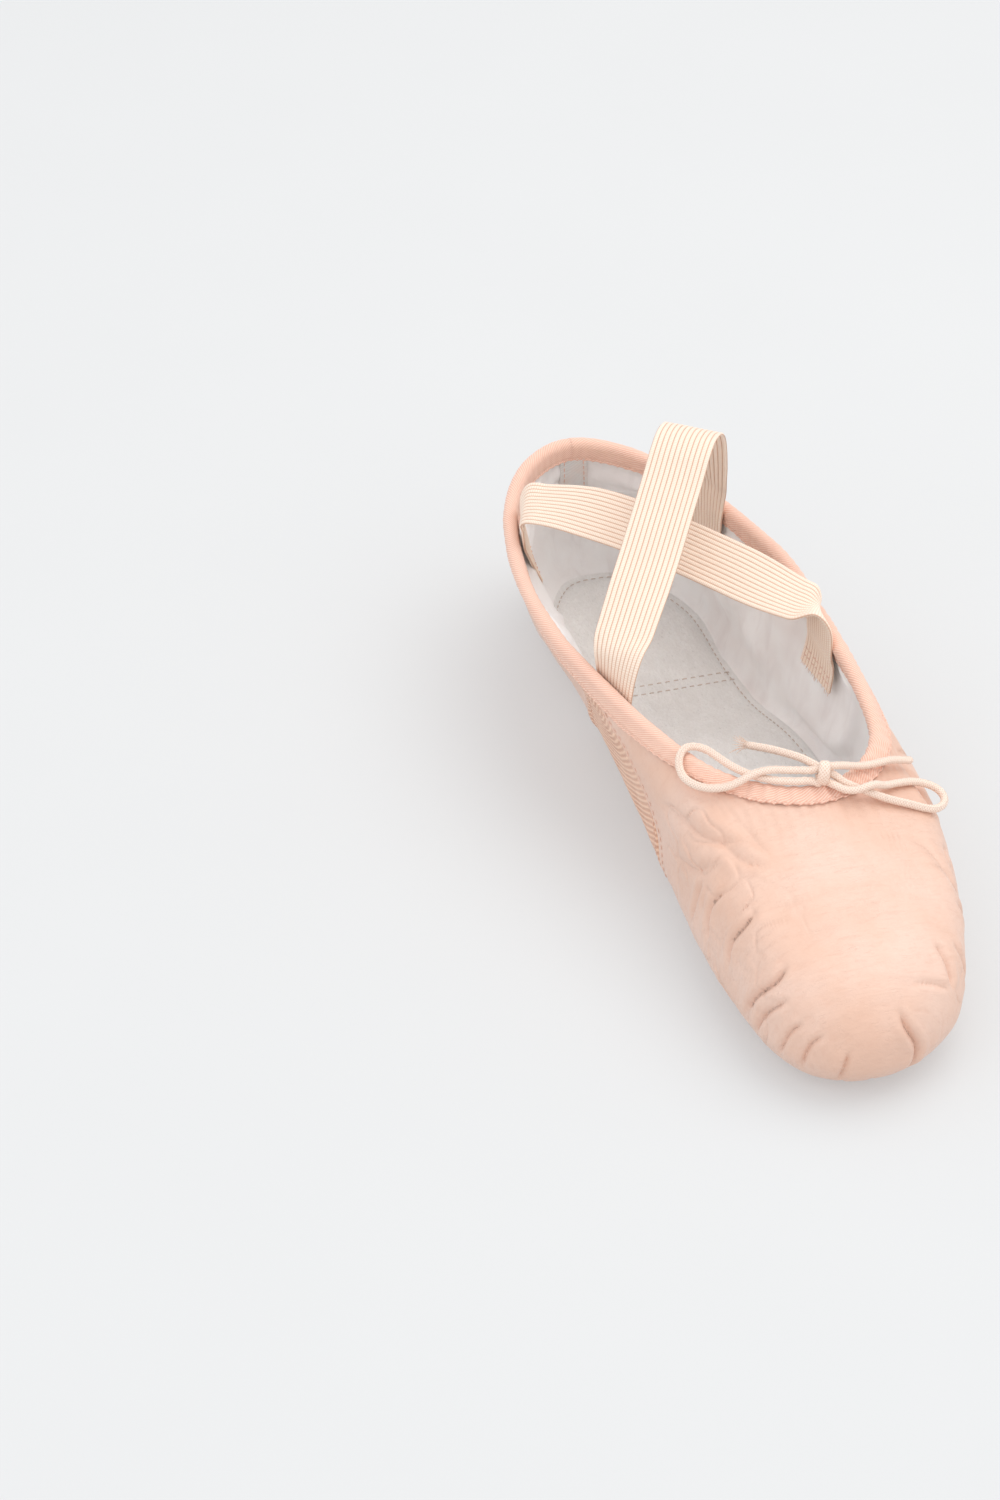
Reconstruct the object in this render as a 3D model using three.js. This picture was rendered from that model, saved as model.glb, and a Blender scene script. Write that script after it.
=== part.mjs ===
// Split-sole leather ballet slipper with crossed elastics and a drawstring bow.
// Millimetres. +X points to the toe, +Z up, the two sole patches rest on z = 0.
import * as THREE from "three";

// Outlines of one half, from the toe tip to the heel; the other half mirrors them.
const SILHOUETTE = [
  [118, 0], [113, 16.5], [98, 27], [66, 33], [28, 33],
  [-10, 30], [-50, 27.5], [-86, 27.5], [-110, 16.5], [-118, 0],
];
const TOPLINE = [
  [51, 0, 44.5], [47, 12.5, 44.5], [35, 24, 45], [14, 31, 46], [-12, 35.5, 47.5],
  [-37, 37.5, 48.5], [-62, 34.5, 47.5], [-86, 27.5, 47.5], [-104, 15.5, 49], [-111, 0, 50],
];
const WIDEST_HEIGHT = [13, 13, 13, 14, 15, 16, 17, 19, 20, 20];
const SOLE_INSET = [14, 13, 12, 10, 9, 9, 9, 9, 10, 12];

// The soft upper bends a little sideways at the toe and leans above the arch.
const TOE_SWAY = { amount: -9.7, from: 30, length: 88, power: 1.6 };
const LEAN = { amount: -8.3, from: 60, length: 80, base: 10, height: 40 };
const CENTRE_Y = 6.6;

// Underside: flat under the two patches, raised under the arch.
const SOLE_CLEARANCE = 1.4;
const ARCH = { middle: -7, half: 37, rise: 7 };

// Section of the wall.
const WRAP_SHARE = 0.25;
const SIDE_REACH = 8;
const VAMP_REACH = 60;
const SIDE_PULL = { lower: 0.45, upper: 0.4 };
const VAMP_PULL = { lower: 22, out: 0.45, drop: 0.16 };

// Layers, measured inward from the outer face of the leather.
const LEATHER = [0, 0.9];
const LINING = [1.2, 1.7];
const TAB = [3.5, 4.6];
const TOP_GAP = 3.4;

// Stations round the slipper: v = 0 at the toe, +-1 at the heel.
const HALF_STATIONS = 36;
const FRONT_SEAM = 16 / HALF_STATIONS;
const REAR_SEAM = { top: 20 / HALF_STATIONS, bottom: 23 / HALF_STATIONS };
const SEAM_GAP = 0.0012;
const BACK_GAP = 0.003;
const SIDE_STEPS = 9;
const ARCH_STEPS = 8;
const UNDER_STEPS = 4;
const UNDER_SHARE = 0.2;
const PROBE = 1e-4;
const TOP_SHARE = 0.05;

// Sole patches and insole pieces.
const PATCH_HEIGHT = 2;
const PATCH_INSET = 0.4;
const FRONT_PATCH = [0, 0.437];
const HEEL_PATCH = [0.65, 1];
const OUTLINE_STEPS = 14;
const FRONT_INSOLE = [2.4, 4.4];
const HEEL_PAD = [2.4, 4.2];
const HEEL_PAD_INSET = 4;
const HEEL_INSOLE = [4.5, 5.5];

// Binding round the opening, and the drawstring inside its fold.
const BINDING = { inner: 3, outer: 1.2, leaf: 0.9, drop: 5.2, rise: 1.2 };
const DRAWSTRING_RADIUS = 0.7;
const CORD_RADIUS = 1;
const CORD_SIDES = 8;

// Elastic straps.
const STRAP_WIDTH = 16;
const STRAP_THICKNESS = 1.2;
const STRAP_STATIONS = 26;
const STRAP_START_RISE = 4.5;
const STRAP_UPRIGHT = 2.5;
const TAB_DROP = 15;
const TWIST_SHARE = 0.3;

const STRAP_OVER = {
  front: -0.397, rear: 0.734, tilt: 0,
  heights: [[0.12, 60], [0.3, 68], [0.5, 79], [0.64, 86.5], [0.76, 83], [0.87, 70], [0.96, 58]],
};
const STRAP_UNDER = {
  front: 0.431, rear: -0.729, tilt: 28,
  heights: [[0.12, 54.8], [0.3, 57.4], [0.5, 59.5], [0.7, 60.5], [0.88, 59]],
};

// Middle of the insole cloth.
const ARCH_SOCK_HEIGHTS = [2.3, 3.3];
const ARCH_SOCK_HALF = 16.5;
const ARCH_SOCK_ENDS = [29, -41];
const ARCH_SOCK_STEPS = 12;
const ARCH_SOCK_SHARES = [-1, -0.5, 0, 0.5, 1];

// Small pieces.
const PATCH_STEPS = 4;
const TOP_GUESS = 0.9;
const WALL_TURNS = 8;
const TAB_TOP = 1;
const DRAWSTRING_DROP = 1;
const BACK_TAPE = { width: 9, low: 0.3, high: 0.8, layer: [2.2, 2.8] };
const KNOT = [51.2, 6, 48.3];
const KNOT_RADIUS = 2.7;
const BOW_CORDS = {
  bow_loop_left: {
    steps: 26,
    points: [
      [49.2, 3.6, 48.9], [48, 0.9, 48.7], [47.2, -1.9, 48.7], [46.6, -4.7, 49], [46.4, -7.6, 49.2],
      [46.3, -10.5, 48.8], [46.3, -13.1, 47.6], [46, -15.7, 46.2], [45.2, -18.2, 45.1],
      [43.7, -20.7, 44.3], [41.7, -22.7, 43.8], [39.3, -24.3, 43.6], [36.5, -25.2, 43.7],
      [33.8, -25.3, 44.8], [31.7, -24.5, 46.5], [30.2, -22.4, 47.6], [30.2, -19.6, 47.4],
      [31.8, -17.2, 47], [34.3, -15.8, 46.7], [37, -14.7, 46.7], [39.7, -13.5, 46.7],
      [42.2, -12, 46.8], [44.5, -10.1, 46.8], [46.4, -7.9, 46.8], [48, -5.5, 46.8], [49.2, -2.8, 46.9],
      [50.1, -0.1, 46.9], [50.7, 2.8, 47],
    ],
  },
  bow_tail_left: {
    steps: 7,
    points: [
      [47.9, 5.6, 49], [44.5, 3.4, 49.2], [41.3, 0.9, 48.9], [38.1, -1.6, 48.3], [35, -3.9, 47.4],
      [31.8, -6.2, 46.3],
    ],
  },
  bow_loop_right: {
    steps: 26,
    points: [
      [53.5, 8.2, 46.7], [55.2, 10.4, 45.9], [56.5, 12.9, 46.2], [56.6, 15.7, 46.9],
      [55.8, 18.4, 46.4], [54.8, 20.7, 44.9], [53.6, 23, 43.6], [52.5, 25.5, 42.7], [51.6, 28.2, 41.9],
      [50.9, 30.9, 41.1], [50.6, 33.6, 40.1], [51.1, 36.3, 39.1], [52.8, 38.4, 38.2],
      [55.5, 38.8, 37.4], [57.8, 37.1, 37.3], [59.1, 34.5, 37.7], [59.3, 31.8, 38.6], [59, 29.1, 39.7],
      [58.5, 26.5, 40.7], [57.8, 23.8, 41.5], [57.2, 21.1, 42.5], [56.6, 18.5, 43.7], [55.6, 16, 44.7],
      [54.3, 13.5, 45.5], [52.8, 11.2, 46.3], [51, 9.3, 47.6],
    ],
  },
  bow_tail_right: {
    steps: 9,
    points: [
      [50.1, 8.6, 50], [49.4, 12.3, 48.9], [48.8, 15.9, 47.5], [48.2, 19.6, 46.6], [47.3, 23.3, 46],
      [46.2, 27, 45.3], [45.3, 30.5, 43.9], [44.4, 34, 42.4],
    ],
  },
};

const FINISHES = {
  leather: { color: 0xecc4ab, roughness: 0.6 },
  stretch: { color: 0xeabf9f, roughness: 0.8 },
  lining: { color: 0xe9e4e0, roughness: 0.9 },
  insole: { color: 0xd6d4d1, roughness: 0.95 },
  foam: { color: 0xe8e6e0, roughness: 0.95 },
  suede: { color: 0x9a8a7c, roughness: 0.95 },
  tape: { color: 0xe6b79f, roughness: 0.85 },
  elastic: { color: 0xf3dcca, roughness: 0.8 },
  cord: { color: 0xf4dfcf, roughness: 0.8 },
};

const slipper = new THREE.Group();

function addPiece(name, geometry, finish) {
  const material = new THREE.MeshStandardMaterial({ ...FINISHES[finish], metalness: 0 });
  const mesh = new THREE.Mesh(geometry, material);
  mesh.name = name;
  slipper.add(mesh);
}

function clamp01(x) {
  return Math.min(1, Math.max(0, x));
}

// Catmull-Rom value at u in 0..1 along a list, mirrored at both ends (sign = -1 for y).
function alongList(list, u, sign) {
  const last = list.length - 1;
  const place = clamp01(u) * last;
  const i = Math.min(last - 1, Math.floor(place));
  const f = place - i;
  const before = i === 0 ? sign * list[1] : list[i - 1];
  const after = i + 2 > last ? sign * list[last - 1] : list[i + 2];
  const [p, q] = [list[i], list[i + 1]];
  return 0.5 * (2 * p + (q - before) * f + (2 * before - 5 * p + 4 * q - after) * f * f
    + (3 * p - before - 3 * q + after) * f * f * f);
}

function column(outline, k) {
  return outline.map((point) => point[k]);
}

const SIL_X = column(SILHOUETTE, 0);
const SIL_Y = column(SILHOUETTE, 1);
const TOP_X = column(TOPLINE, 0);
const TOP_Y = column(TOPLINE, 1);
const TOP_Z = column(TOPLINE, 2);

function archLift(x) {
  const t = clamp01(Math.abs(x - ARCH.middle) / ARCH.half);
  return SOLE_CLEARANCE + ARCH.rise * 0.5 * (1 + Math.cos(Math.PI * t));
}

function settle(p) {
  const sway = TOE_SWAY.amount * clamp01((p.x - TOE_SWAY.from) / TOE_SWAY.length) ** TOE_SWAY.power;
  const lean = LEAN.amount * clamp01((LEAN.from - p.x) / LEAN.length);
  p.y += CENTRE_Y + sway + lean * (p.z - LEAN.base) / LEAN.height;
  return p;
}

// v in any range: side of the slipper and distance from the toe.
function fold(v) {
  const turn = v - 2 * Math.round(v / 2);
  return { side: turn < 0 ? -1 : 1, u: Math.abs(turn) };
}

function soleEdge(u, inset) {
  const x = alongList(SIL_X, u, 1);
  const y = alongList(SIL_Y, u, -1);
  const dx = alongList(SIL_X, u + PROBE, 1) - alongList(SIL_X, u - PROBE, 1);
  const dy = alongList(SIL_Y, u + PROBE, -1) - alongList(SIL_Y, u - PROBE, -1);
  const atEnd = u < PROBE || u > 1 - PROBE;
  const tangent = atEnd ? [0, u < 0.5 ? 1 : -1] : [dx, dy];
  const length = Math.hypot(...tangent);
  const normal = [-tangent[1] / length, tangent[0] / length];
  return { x, y, normal, bx: x + normal[0] * inset, by: y + normal[1] * inset };
}

// Outer face of the upper: s = 0 at the sole edge, 1 at the topline.
function outerFace(v, s) {
  const { side, u } = fold(v);
  const inset = alongList(SOLE_INSET, u, 1);
  const edge = soleEdge(u, inset);
  const widest = alongList(WIDEST_HEIGHT, u, 1);
  const base = archLift(edge.bx);
  if (s < WRAP_SHARE) {
    const angle = (s / WRAP_SHARE) * Math.PI / 2;
    const out = Math.sin(angle);
    const z = base + (widest - base) * (1 - Math.cos(angle));
    const x = edge.bx + (edge.x - edge.bx) * out;
    const y = edge.by + (edge.y - edge.by) * out;
    return settle(new THREE.Vector3(x, side * y, z));
  }
  const top = new THREE.Vector3(alongList(TOP_X, u, 1), alongList(TOP_Y, u, -1), alongList(TOP_Z, u, 1));
  const start = new THREE.Vector3(edge.x, edge.y, widest);
  const out = new THREE.Vector3(start.x - top.x, start.y - top.y, 0);
  const reach = out.length();
  const rise = top.z - widest;
  const front = clamp01((reach - SIDE_REACH) / VAMP_REACH);
  const lower = start.clone();
  lower.z += SIDE_PULL.lower * rise * (1 - front) + VAMP_PULL.lower * front;
  const upper = top.clone().addScaledVector(out, VAMP_PULL.out * front);
  upper.z -= SIDE_PULL.upper * rise * (1 - front) + VAMP_PULL.drop * reach * front;
  const curve = new THREE.CubicBezierCurve3(start, lower, upper, top);
  const p = curve.getPoint((s - WRAP_SHARE) / (1 - WRAP_SHARE));
  p.y *= side;
  return settle(p);
}

// A face with coordinates (a, b) pushed inward by depth along its own normal.
function pushed(face, a, b, depth) {
  const da = face(a + PROBE, b).sub(face(a - PROBE, b));
  const low = Math.max(0, b - PROBE);
  const high = Math.min(1, b + PROBE);
  const db = face(a, high).sub(face(a, low));
  const normal = da.cross(db).normalize();
  return face(a, b).addScaledVector(normal, -depth);
}

// Closed solid from two grids of points; rows may close on themselves.
function slab(outer, inner, closed) {
  const rows = outer.length;
  const columns = outer[0].length;
  const points = [...outer.flat(), ...inner.flat()];
  const index = [];
  const at = (layer, i, j) => layer * rows * columns + (i % rows) * columns + j;
  const quad = (a, b, c, d) => index.push(a, b, c, a, c, d);
  const spans = closed ? rows : rows - 1;
  for (let i = 0; i < spans; i += 1) {
    for (let j = 0; j < columns - 1; j += 1) {
      quad(at(0, i, j), at(0, i + 1, j), at(0, i + 1, j + 1), at(0, i, j + 1));
      quad(at(1, i, j), at(1, i, j + 1), at(1, i + 1, j + 1), at(1, i + 1, j));
    }
    quad(at(0, i, 0), at(1, i, 0), at(1, i + 1, 0), at(0, i + 1, 0));
    const j = columns - 1;
    quad(at(0, i, j), at(0, i + 1, j), at(1, i + 1, j), at(1, i, j));
  }
  if (!closed) {
    for (let j = 0; j < columns - 1; j += 1) {
      const i = rows - 1;
      quad(at(0, 0, j), at(0, 0, j + 1), at(1, 0, j + 1), at(1, 0, j));
      quad(at(0, i, j), at(1, i, j), at(1, i, j + 1), at(0, i, j + 1));
    }
  }
  return solid(points, index);
}

// Indexed geometry whose faces point out, whichever way the grids ran.
function solid(points, index) {
  let volume = 0;
  for (let k = 0; k < index.length; k += 3) {
    const [a, b, c] = [points[index[k]], points[index[k + 1]], points[index[k + 2]]];
    volume += a.dot(b.clone().cross(c));
  }
  const faces = volume < 0 ? index.reverse() : index;
  const geometry = new THREE.BufferGeometry();
  geometry.setAttribute("position", new THREE.Float32BufferAttribute(points.flatMap((p) => p.toArray()), 3));
  geometry.setIndex(faces);
  geometry.computeVertexNormals();
  return geometry;
}

// Directions at the topline: along it, and up the wall square to it.
function topFrame(v) {
  const alongV = outerFace(v + PROBE, 1).sub(outerFace(v - PROBE, 1)).divideScalar(2 * PROBE);
  const alongS = outerFace(v, 1).sub(outerFace(v, 1 - TOP_SHARE)).divideScalar(TOP_SHARE);
  const speed = alongV.length();
  const along = alongV.divideScalar(speed);
  const shear = alongS.dot(along);
  const up = alongS.addScaledVector(along, -shear);
  const rise = up.length();
  return { along, up: up.divideScalar(rise), speed, shear, rise };
}

// Panel of the upper between two edges given as functions of s.
function panel(from, to, steps, layer) {
  const grid = (depth) => {
    const rows = [];
    for (let i = 0; i <= steps; i += 1) {
      const row = [];
      for (let j = 0; j <= SIDE_STEPS; j += 1) {
        const share = j / SIDE_STEPS;
        const v = from(share) + (to(share) - from(share)) * i / steps;
        const s = share * (1 - TOP_GAP / topFrame(v).rise);
        row.push(pushed(outerFace, v, s, depth));
      }
      rows.push(row);
    }
    return rows;
  };
  return slab(grid(layer[0]), grid(layer[1]), false);
}

const rearSeam = (s) => REAR_SEAM.bottom + (REAR_SEAM.top - REAR_SEAM.bottom) * s;

function addVamp() {
  const from = () => -FRONT_SEAM + SEAM_GAP;
  const to = () => FRONT_SEAM - SEAM_GAP;
  const steps = Math.round(2 * FRONT_SEAM * HALF_STATIONS);
  addPiece("vamp", panel(from, to, steps, LEATHER), "leather");
  addPiece("vamp_lining", panel(from, to, steps, LINING), "lining");
}

function addQuarter(side, name) {
  const from = (s) => side * (rearSeam(s) + SEAM_GAP);
  const to = () => side * (1 - BACK_GAP);
  const steps = Math.round((1 - REAR_SEAM.top) * HALF_STATIONS);
  addPiece(`quarter_${name}`, panel(from, to, steps, LEATHER), "leather");
  addPiece(`quarter_lining_${name}`, panel(from, to, steps, LINING), "lining");
}

// The arch panel runs up one side, under the foot and up the other side.
function archFace(a, b) {
  const across = 2 * b - 1;
  const s = (Math.abs(across) - UNDER_SHARE) / (1 - UNDER_SHARE);
  const seam = (height) => FRONT_SEAM + SEAM_GAP
    + (rearSeam(height) - FRONT_SEAM - 2 * SEAM_GAP) * a;
  if (s >= 0) {
    const v = Math.sign(across) * seam(s);
    return outerFace(v, s * (1 - TOP_GAP / topFrame(v).rise));
  }
  const left = outerFace(-seam(0), 0);
  const right = outerFace(seam(0), 0);
  return left.lerp(right, 0.5 + 0.5 * across / UNDER_SHARE);
}

function addArchPanel() {
  const wall = (1 - UNDER_SHARE) / 2;
  const up = Array.from({ length: SIDE_STEPS }, (_, j) => wall * j / SIDE_STEPS);
  const under = Array.from({ length: UNDER_STEPS + 1 }, (_, j) => wall + UNDER_SHARE * j / UNDER_STEPS);
  const stops = [...up, ...under, ...up.map((b) => 1 - b).reverse()];
  const grid = (depth) => Array.from({ length: ARCH_STEPS + 1 }, (_, i) => (
    stops.map((b) => pushed(archFace, i / ARCH_STEPS, b, depth))));
  addPiece("arch_panel", slab(grid(LEATHER[0]), grid(LEATHER[1]), false), "stretch");
  addPiece("arch_lining", slab(grid(LINING[0]), grid(LINING[1]), false), "lining");
}

// Outline inside the sole edge between two stations, closed by a straight end at the arch.
function soleOutline([from, to], inset) {
  const half = (side) => Array.from({ length: OUTLINE_STEPS + 1 }, (_, i) => {
    const u = from + (to - from) * i / OUTLINE_STEPS;
    const edge = soleEdge(u, alongList(SOLE_INSET, u, 1) + inset);
    return settle(new THREE.Vector3(edge.bx, side * edge.by, SOLE_CLEARANCE));
  });
  const left = half(1);
  const right = half(-1).reverse();
  return from === 0 ? [...left, ...right.slice(0, -1)] : [...left, ...right.slice(1)];
}

function plate(points, heights) {
  const shape = new THREE.Shape(points.map((p) => new THREE.Vector2(p.x, p.y)));
  const depth = heights[1] - heights[0];
  const geometry = new THREE.ExtrudeGeometry(shape, { depth, bevelEnabled: false });
  geometry.translate(0, 0, heights[0]);
  return geometry;
}

function addSoles() {
  const front = (inset) => soleOutline(FRONT_PATCH, inset);
  const heel = (inset) => soleOutline(HEEL_PATCH, inset);
  addPiece("front_sole_patch", plate(front(PATCH_INSET), [0, PATCH_HEIGHT]), "suede");
  addPiece("heel_sole_patch", plate(heel(PATCH_INSET), [0, PATCH_HEIGHT]), "suede");
  addPiece("front_insole", plate(front(PATCH_INSET), FRONT_INSOLE), "insole");
  addPiece("heel_pad", plate(heel(HEEL_PAD_INSET), HEEL_PAD), "foam");
  addPiece("heel_insole", plate(heel(PATCH_INSET), HEEL_INSOLE), "insole");
}

// Middle stretch of the insole cloth, over the raised arch.
function addArchSock() {
  const [from, to] = ARCH_SOCK_ENDS;
  const grid = (height) => Array.from({ length: ARCH_SOCK_STEPS + 1 }, (_, i) => {
    const x = from + (to - from) * i / ARCH_SOCK_STEPS;
    const z = archLift(x) + height;
    return ARCH_SOCK_SHARES.map((share) => (
      settle(new THREE.Vector3(x, share * ARCH_SOCK_HALF, z))));
  });
  addPiece("arch_sock", slab(grid(ARCH_SOCK_HEIGHTS[0]), grid(ARCH_SOCK_HEIGHTS[1]), false), "insole");
}

// Place near the topline: a = distance outside the leather, b = distance above its edge.
function rim(v, a, b) {
  const frame = topFrame(v);
  const drop = Math.min(0, b) / frame.rise;
  const place = v - drop * frame.shear / frame.speed;
  return pushed(outerFace, place, 1 + drop, -a).addScaledVector(frame.up, Math.max(0, b));
}

function ring(profile) {
  return Array.from({ length: 2 * HALF_STATIONS }, (_, i) => (
    profile.map(([a, b]) => rim(i / HALF_STATIONS - 1, a, b))));
}

function addBinding() {
  const { inner, outer, leaf, drop, rise } = BINDING;
  const corner = leaf;
  const outside = [
    [outer, -drop], [outer, -drop / 2], [outer, 0], [outer - corner, rise],
    [corner - inner, rise], [-inner, 0], [-inner, -drop / 2], [-inner, -drop],
  ];
  const [near, far] = [outer - leaf, leaf - inner];
  const inside = [
    [near, -drop], [near, -drop / 2], [near, 0], [near - leaf / 2, rise - leaf],
    [far + leaf / 2, rise - leaf], [far, 0], [far, -drop / 2], [far, -drop],
  ];
  addPiece("binding", slab(ring(outside), ring(inside), true), "tape");
}

// Tube of a round cord along a list of points.
function cordTube(points, radius, steps, tension) {
  const section = new THREE.Shape();
  section.absarc(0, 0, radius, 0, 2 * Math.PI, false);
  const path = new THREE.CatmullRomCurve3(points, false, "catmullrom", tension);
  return new THREE.ExtrudeGeometry(section, {
    steps, bevelEnabled: false, extrudePath: path, curveSegments: CORD_SIDES / 2,
  });
}

function addDrawstring() {
  const middle = (BINDING.outer - BINDING.inner) / 2;
  const stations = 2 * HALF_STATIONS;
  const points = Array.from({ length: stations - 1 }, (_, i) => (
    rim((i + 1) / HALF_STATIONS, middle, -DRAWSTRING_DROP)));
  addPiece("drawstring", cordTube(points, DRAWSTRING_RADIUS, stations, 0.5), "cord");
}

// Station and share of the point on a side wall that has the given x and z.
function wallPlace(v, x, z) {
  let place = { v, s: TOP_GUESS };
  for (let turn = 0; turn < WALL_TURNS; turn += 1) {
    const p = outerFace(place.v, place.s);
    const dv = outerFace(place.v + PROBE, place.s).sub(p).divideScalar(PROBE);
    const ds = outerFace(place.v, place.s + PROBE).sub(p).divideScalar(PROBE);
    const det = dv.x * ds.z - ds.x * dv.z;
    const [ex, ez] = [x - p.x, z - p.z];
    place = {
      v: place.v + (ex * ds.z - ds.x * ez) / det,
      s: Math.min(1, place.s + (dv.x * ez - dv.z * ex) / det),
    };
  }
  return place;
}

// Rectangular piece on the inside of a side wall, hanging straight down from the topline.
function wallPatch(middle, halfWidth, drops, layer) {
  const top = outerFace(middle, 1);
  const { along } = topFrame(middle);
  const grid = (depth) => Array.from({ length: PATCH_STEPS + 1 }, (_, i) => {
    const shift = halfWidth * (2 * i / PATCH_STEPS - 1);
    return Array.from({ length: PATCH_STEPS + 1 }, (__, j) => {
      const drop = drops[1] + (drops[0] - drops[1]) * j / PATCH_STEPS;
      const { v, s } = wallPlace(middle, top.x + shift * along.x, top.z + shift * along.z - drop);
      return pushed(outerFace, v, s, depth);
    });
  });
  return slab(grid(layer[0]), grid(layer[1]), false);
}

// Tape that covers the seam between the two quarters, down the middle of the heel.
function addBackTape() {
  const { width, low, high, layer } = BACK_TAPE;
  const half = width / 2 / topFrame(1).speed;
  const grid = (depth) => Array.from({ length: PATCH_STEPS + 1 }, (_, i) => {
    const v = 1 + half * (2 * i / PATCH_STEPS - 1);
    return Array.from({ length: PATCH_STEPS + 1 }, (__, j) => (
      pushed(outerFace, v, low + (high - low) * j / PATCH_STEPS, depth)));
  });
  addPiece("back_seam_tape", slab(grid(layer[0]), grid(layer[1]), false), "tape");
}

// Elastic: a flat band from a front anchor, over the foot, to the opposite rear anchor.
function strapPath(strap) {
  const middle = (TAB[0] + TAB[1]) / 2;
  const lift = new THREE.Vector3(0, 0, STRAP_START_RISE);
  const upright = new THREE.Vector3(0, 0, STRAP_UPRIGHT);
  const front = rim(strap.front, -middle, 0).add(lift);
  const rear = rim(strap.rear, -middle, 0).add(lift);
  const between = strap.heights.map(([share, z]) => front.clone().lerp(rear, share).setZ(z));
  const start = [front, front.clone().add(upright)];
  const end = [rear.clone().add(upright), rear];
  return new THREE.CatmullRomCurve3([...start, ...between, ...end], false, "centripetal");
}

function wallDirection(v, like) {
  const along = outerFace(v + PROBE, 1).sub(outerFace(v - PROBE, 1)).normalize();
  return along.dot(like) < 0 ? along.negate() : along;
}

function strapBand(strap) {
  const path = strapPath(strap);
  const chord = path.getPoint(1).sub(path.getPoint(0));
  const tilt = THREE.MathUtils.degToRad(strap.tilt);
  const flat = new THREE.Vector3(-chord.y, chord.x, 0).setLength(Math.cos(tilt));
  flat.z = -Math.sin(tilt);
  const ends = [wallDirection(strap.front, flat), wallDirection(strap.rear, flat)];
  const grid = (offset) => Array.from({ length: STRAP_STATIONS + 1 }, (_, i) => {
    const share = i / STRAP_STATIONS;
    const nearest = share < 0.5 ? ends[0] : ends[1];
    const twist = clamp01((0.5 - Math.abs(share - 0.5)) / TWIST_SHARE);
    const eased = twist * twist * (3 - 2 * twist);
    const tangent = path.getTangentAt(share);
    const across = nearest.clone().lerp(flat, eased);
    across.addScaledVector(tangent, -across.dot(tangent)).normalize();
    const normal = tangent.clone().cross(across);
    const centre = path.getPointAt(share).addScaledVector(normal, offset);
    return [-1, 1].map((end) => centre.clone().addScaledVector(across, end * STRAP_WIDTH / 2));
  });
  return slab(grid(STRAP_THICKNESS / 2), grid(-STRAP_THICKNESS / 2), false);
}

function addStrap(name, strap) {
  addPiece(name, strapBand(strap), "elastic");
  const drops = [TAB_TOP, TAB_DROP];
  addPiece(`${name}_front_end`, wallPatch(strap.front, STRAP_WIDTH / 2, drops, TAB), "elastic");
  addPiece(`${name}_rear_end`, wallPatch(strap.rear, STRAP_WIDTH / 2, drops, TAB), "elastic");
}

function addBow() {
  const knot = new THREE.IcosahedronGeometry(KNOT_RADIUS, 2);
  knot.translate(...KNOT);
  addPiece("bow_knot", knot, "cord");
  for (const [name, { points, steps }] of Object.entries(BOW_CORDS)) {
    const route = points.map((p) => new THREE.Vector3(...p));
    addPiece(name, cordTube(route, CORD_RADIUS, steps, 0.5), "cord");
  }
}

addVamp();
addQuarter(1, "left");
addQuarter(-1, "right");
addArchPanel();
addSoles();
addArchSock();
addBinding();
addDrawstring();
addBackTape();
addStrap("strap_over", STRAP_OVER);
addStrap("strap_under", STRAP_UNDER);
addBow();

export default slipper;
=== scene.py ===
import itertools
import math

import bpy
import numpy as np
from mathutils import Matrix, Vector


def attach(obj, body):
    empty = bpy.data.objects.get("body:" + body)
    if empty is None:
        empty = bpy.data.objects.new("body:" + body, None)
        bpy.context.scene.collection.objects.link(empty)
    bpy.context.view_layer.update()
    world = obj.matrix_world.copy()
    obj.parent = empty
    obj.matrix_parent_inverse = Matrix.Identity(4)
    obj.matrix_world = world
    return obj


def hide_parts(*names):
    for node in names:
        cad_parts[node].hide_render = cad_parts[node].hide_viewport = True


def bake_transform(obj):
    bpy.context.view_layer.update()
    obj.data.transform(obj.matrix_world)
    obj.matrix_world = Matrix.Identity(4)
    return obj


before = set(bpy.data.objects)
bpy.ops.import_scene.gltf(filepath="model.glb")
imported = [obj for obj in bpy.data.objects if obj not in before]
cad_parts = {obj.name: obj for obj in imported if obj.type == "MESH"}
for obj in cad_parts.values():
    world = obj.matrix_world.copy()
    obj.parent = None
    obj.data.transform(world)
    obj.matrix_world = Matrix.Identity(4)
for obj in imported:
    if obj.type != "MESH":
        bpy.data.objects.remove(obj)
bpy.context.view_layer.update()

# The slipper is laid out in millimetres, as its CAD model is, and scaled once.
MM = 0.001

# ---- camera ----

VIEW = {"azimuth": 68.6, "elevation": 36.57, "roll": 3.39, "distance": 904, "lens": 83.5}
VIEW_TARGET = (-9.53, -56.58, 25.25)


def placed(name, data):
    """A new object in the scene."""
    made = bpy.data.objects.new(name, data)
    bpy.context.scene.collection.objects.link(made)
    return made


def add_camera():
    azimuth, elevation, roll = (math.radians(VIEW[k]) for k in ("azimuth", "elevation", "roll"))
    back = Vector((math.sin(azimuth) * math.cos(elevation), -math.cos(azimuth) * math.cos(elevation),
                   math.sin(elevation)))
    level = Vector((math.cos(azimuth), math.sin(azimuth), 0))
    up = back.cross(level)
    right = level * math.cos(roll) + up * math.sin(roll)
    tilted = up * math.cos(roll) - level * math.sin(roll)
    place = (Vector(VIEW_TARGET) + back * VIEW["distance"]) * MM
    data = bpy.data.cameras.new("camera")
    data.lens = VIEW["lens"]
    data.sensor_width = 36
    data.clip_start = 0.01
    camera = placed("camera", data)
    turn = Matrix((right, tilted, back)).transposed().to_4x4()
    camera.matrix_world = Matrix.Translation(place) @ turn
    bpy.context.scene.camera = camera


add_camera()

# ---- meshes ----


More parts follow.
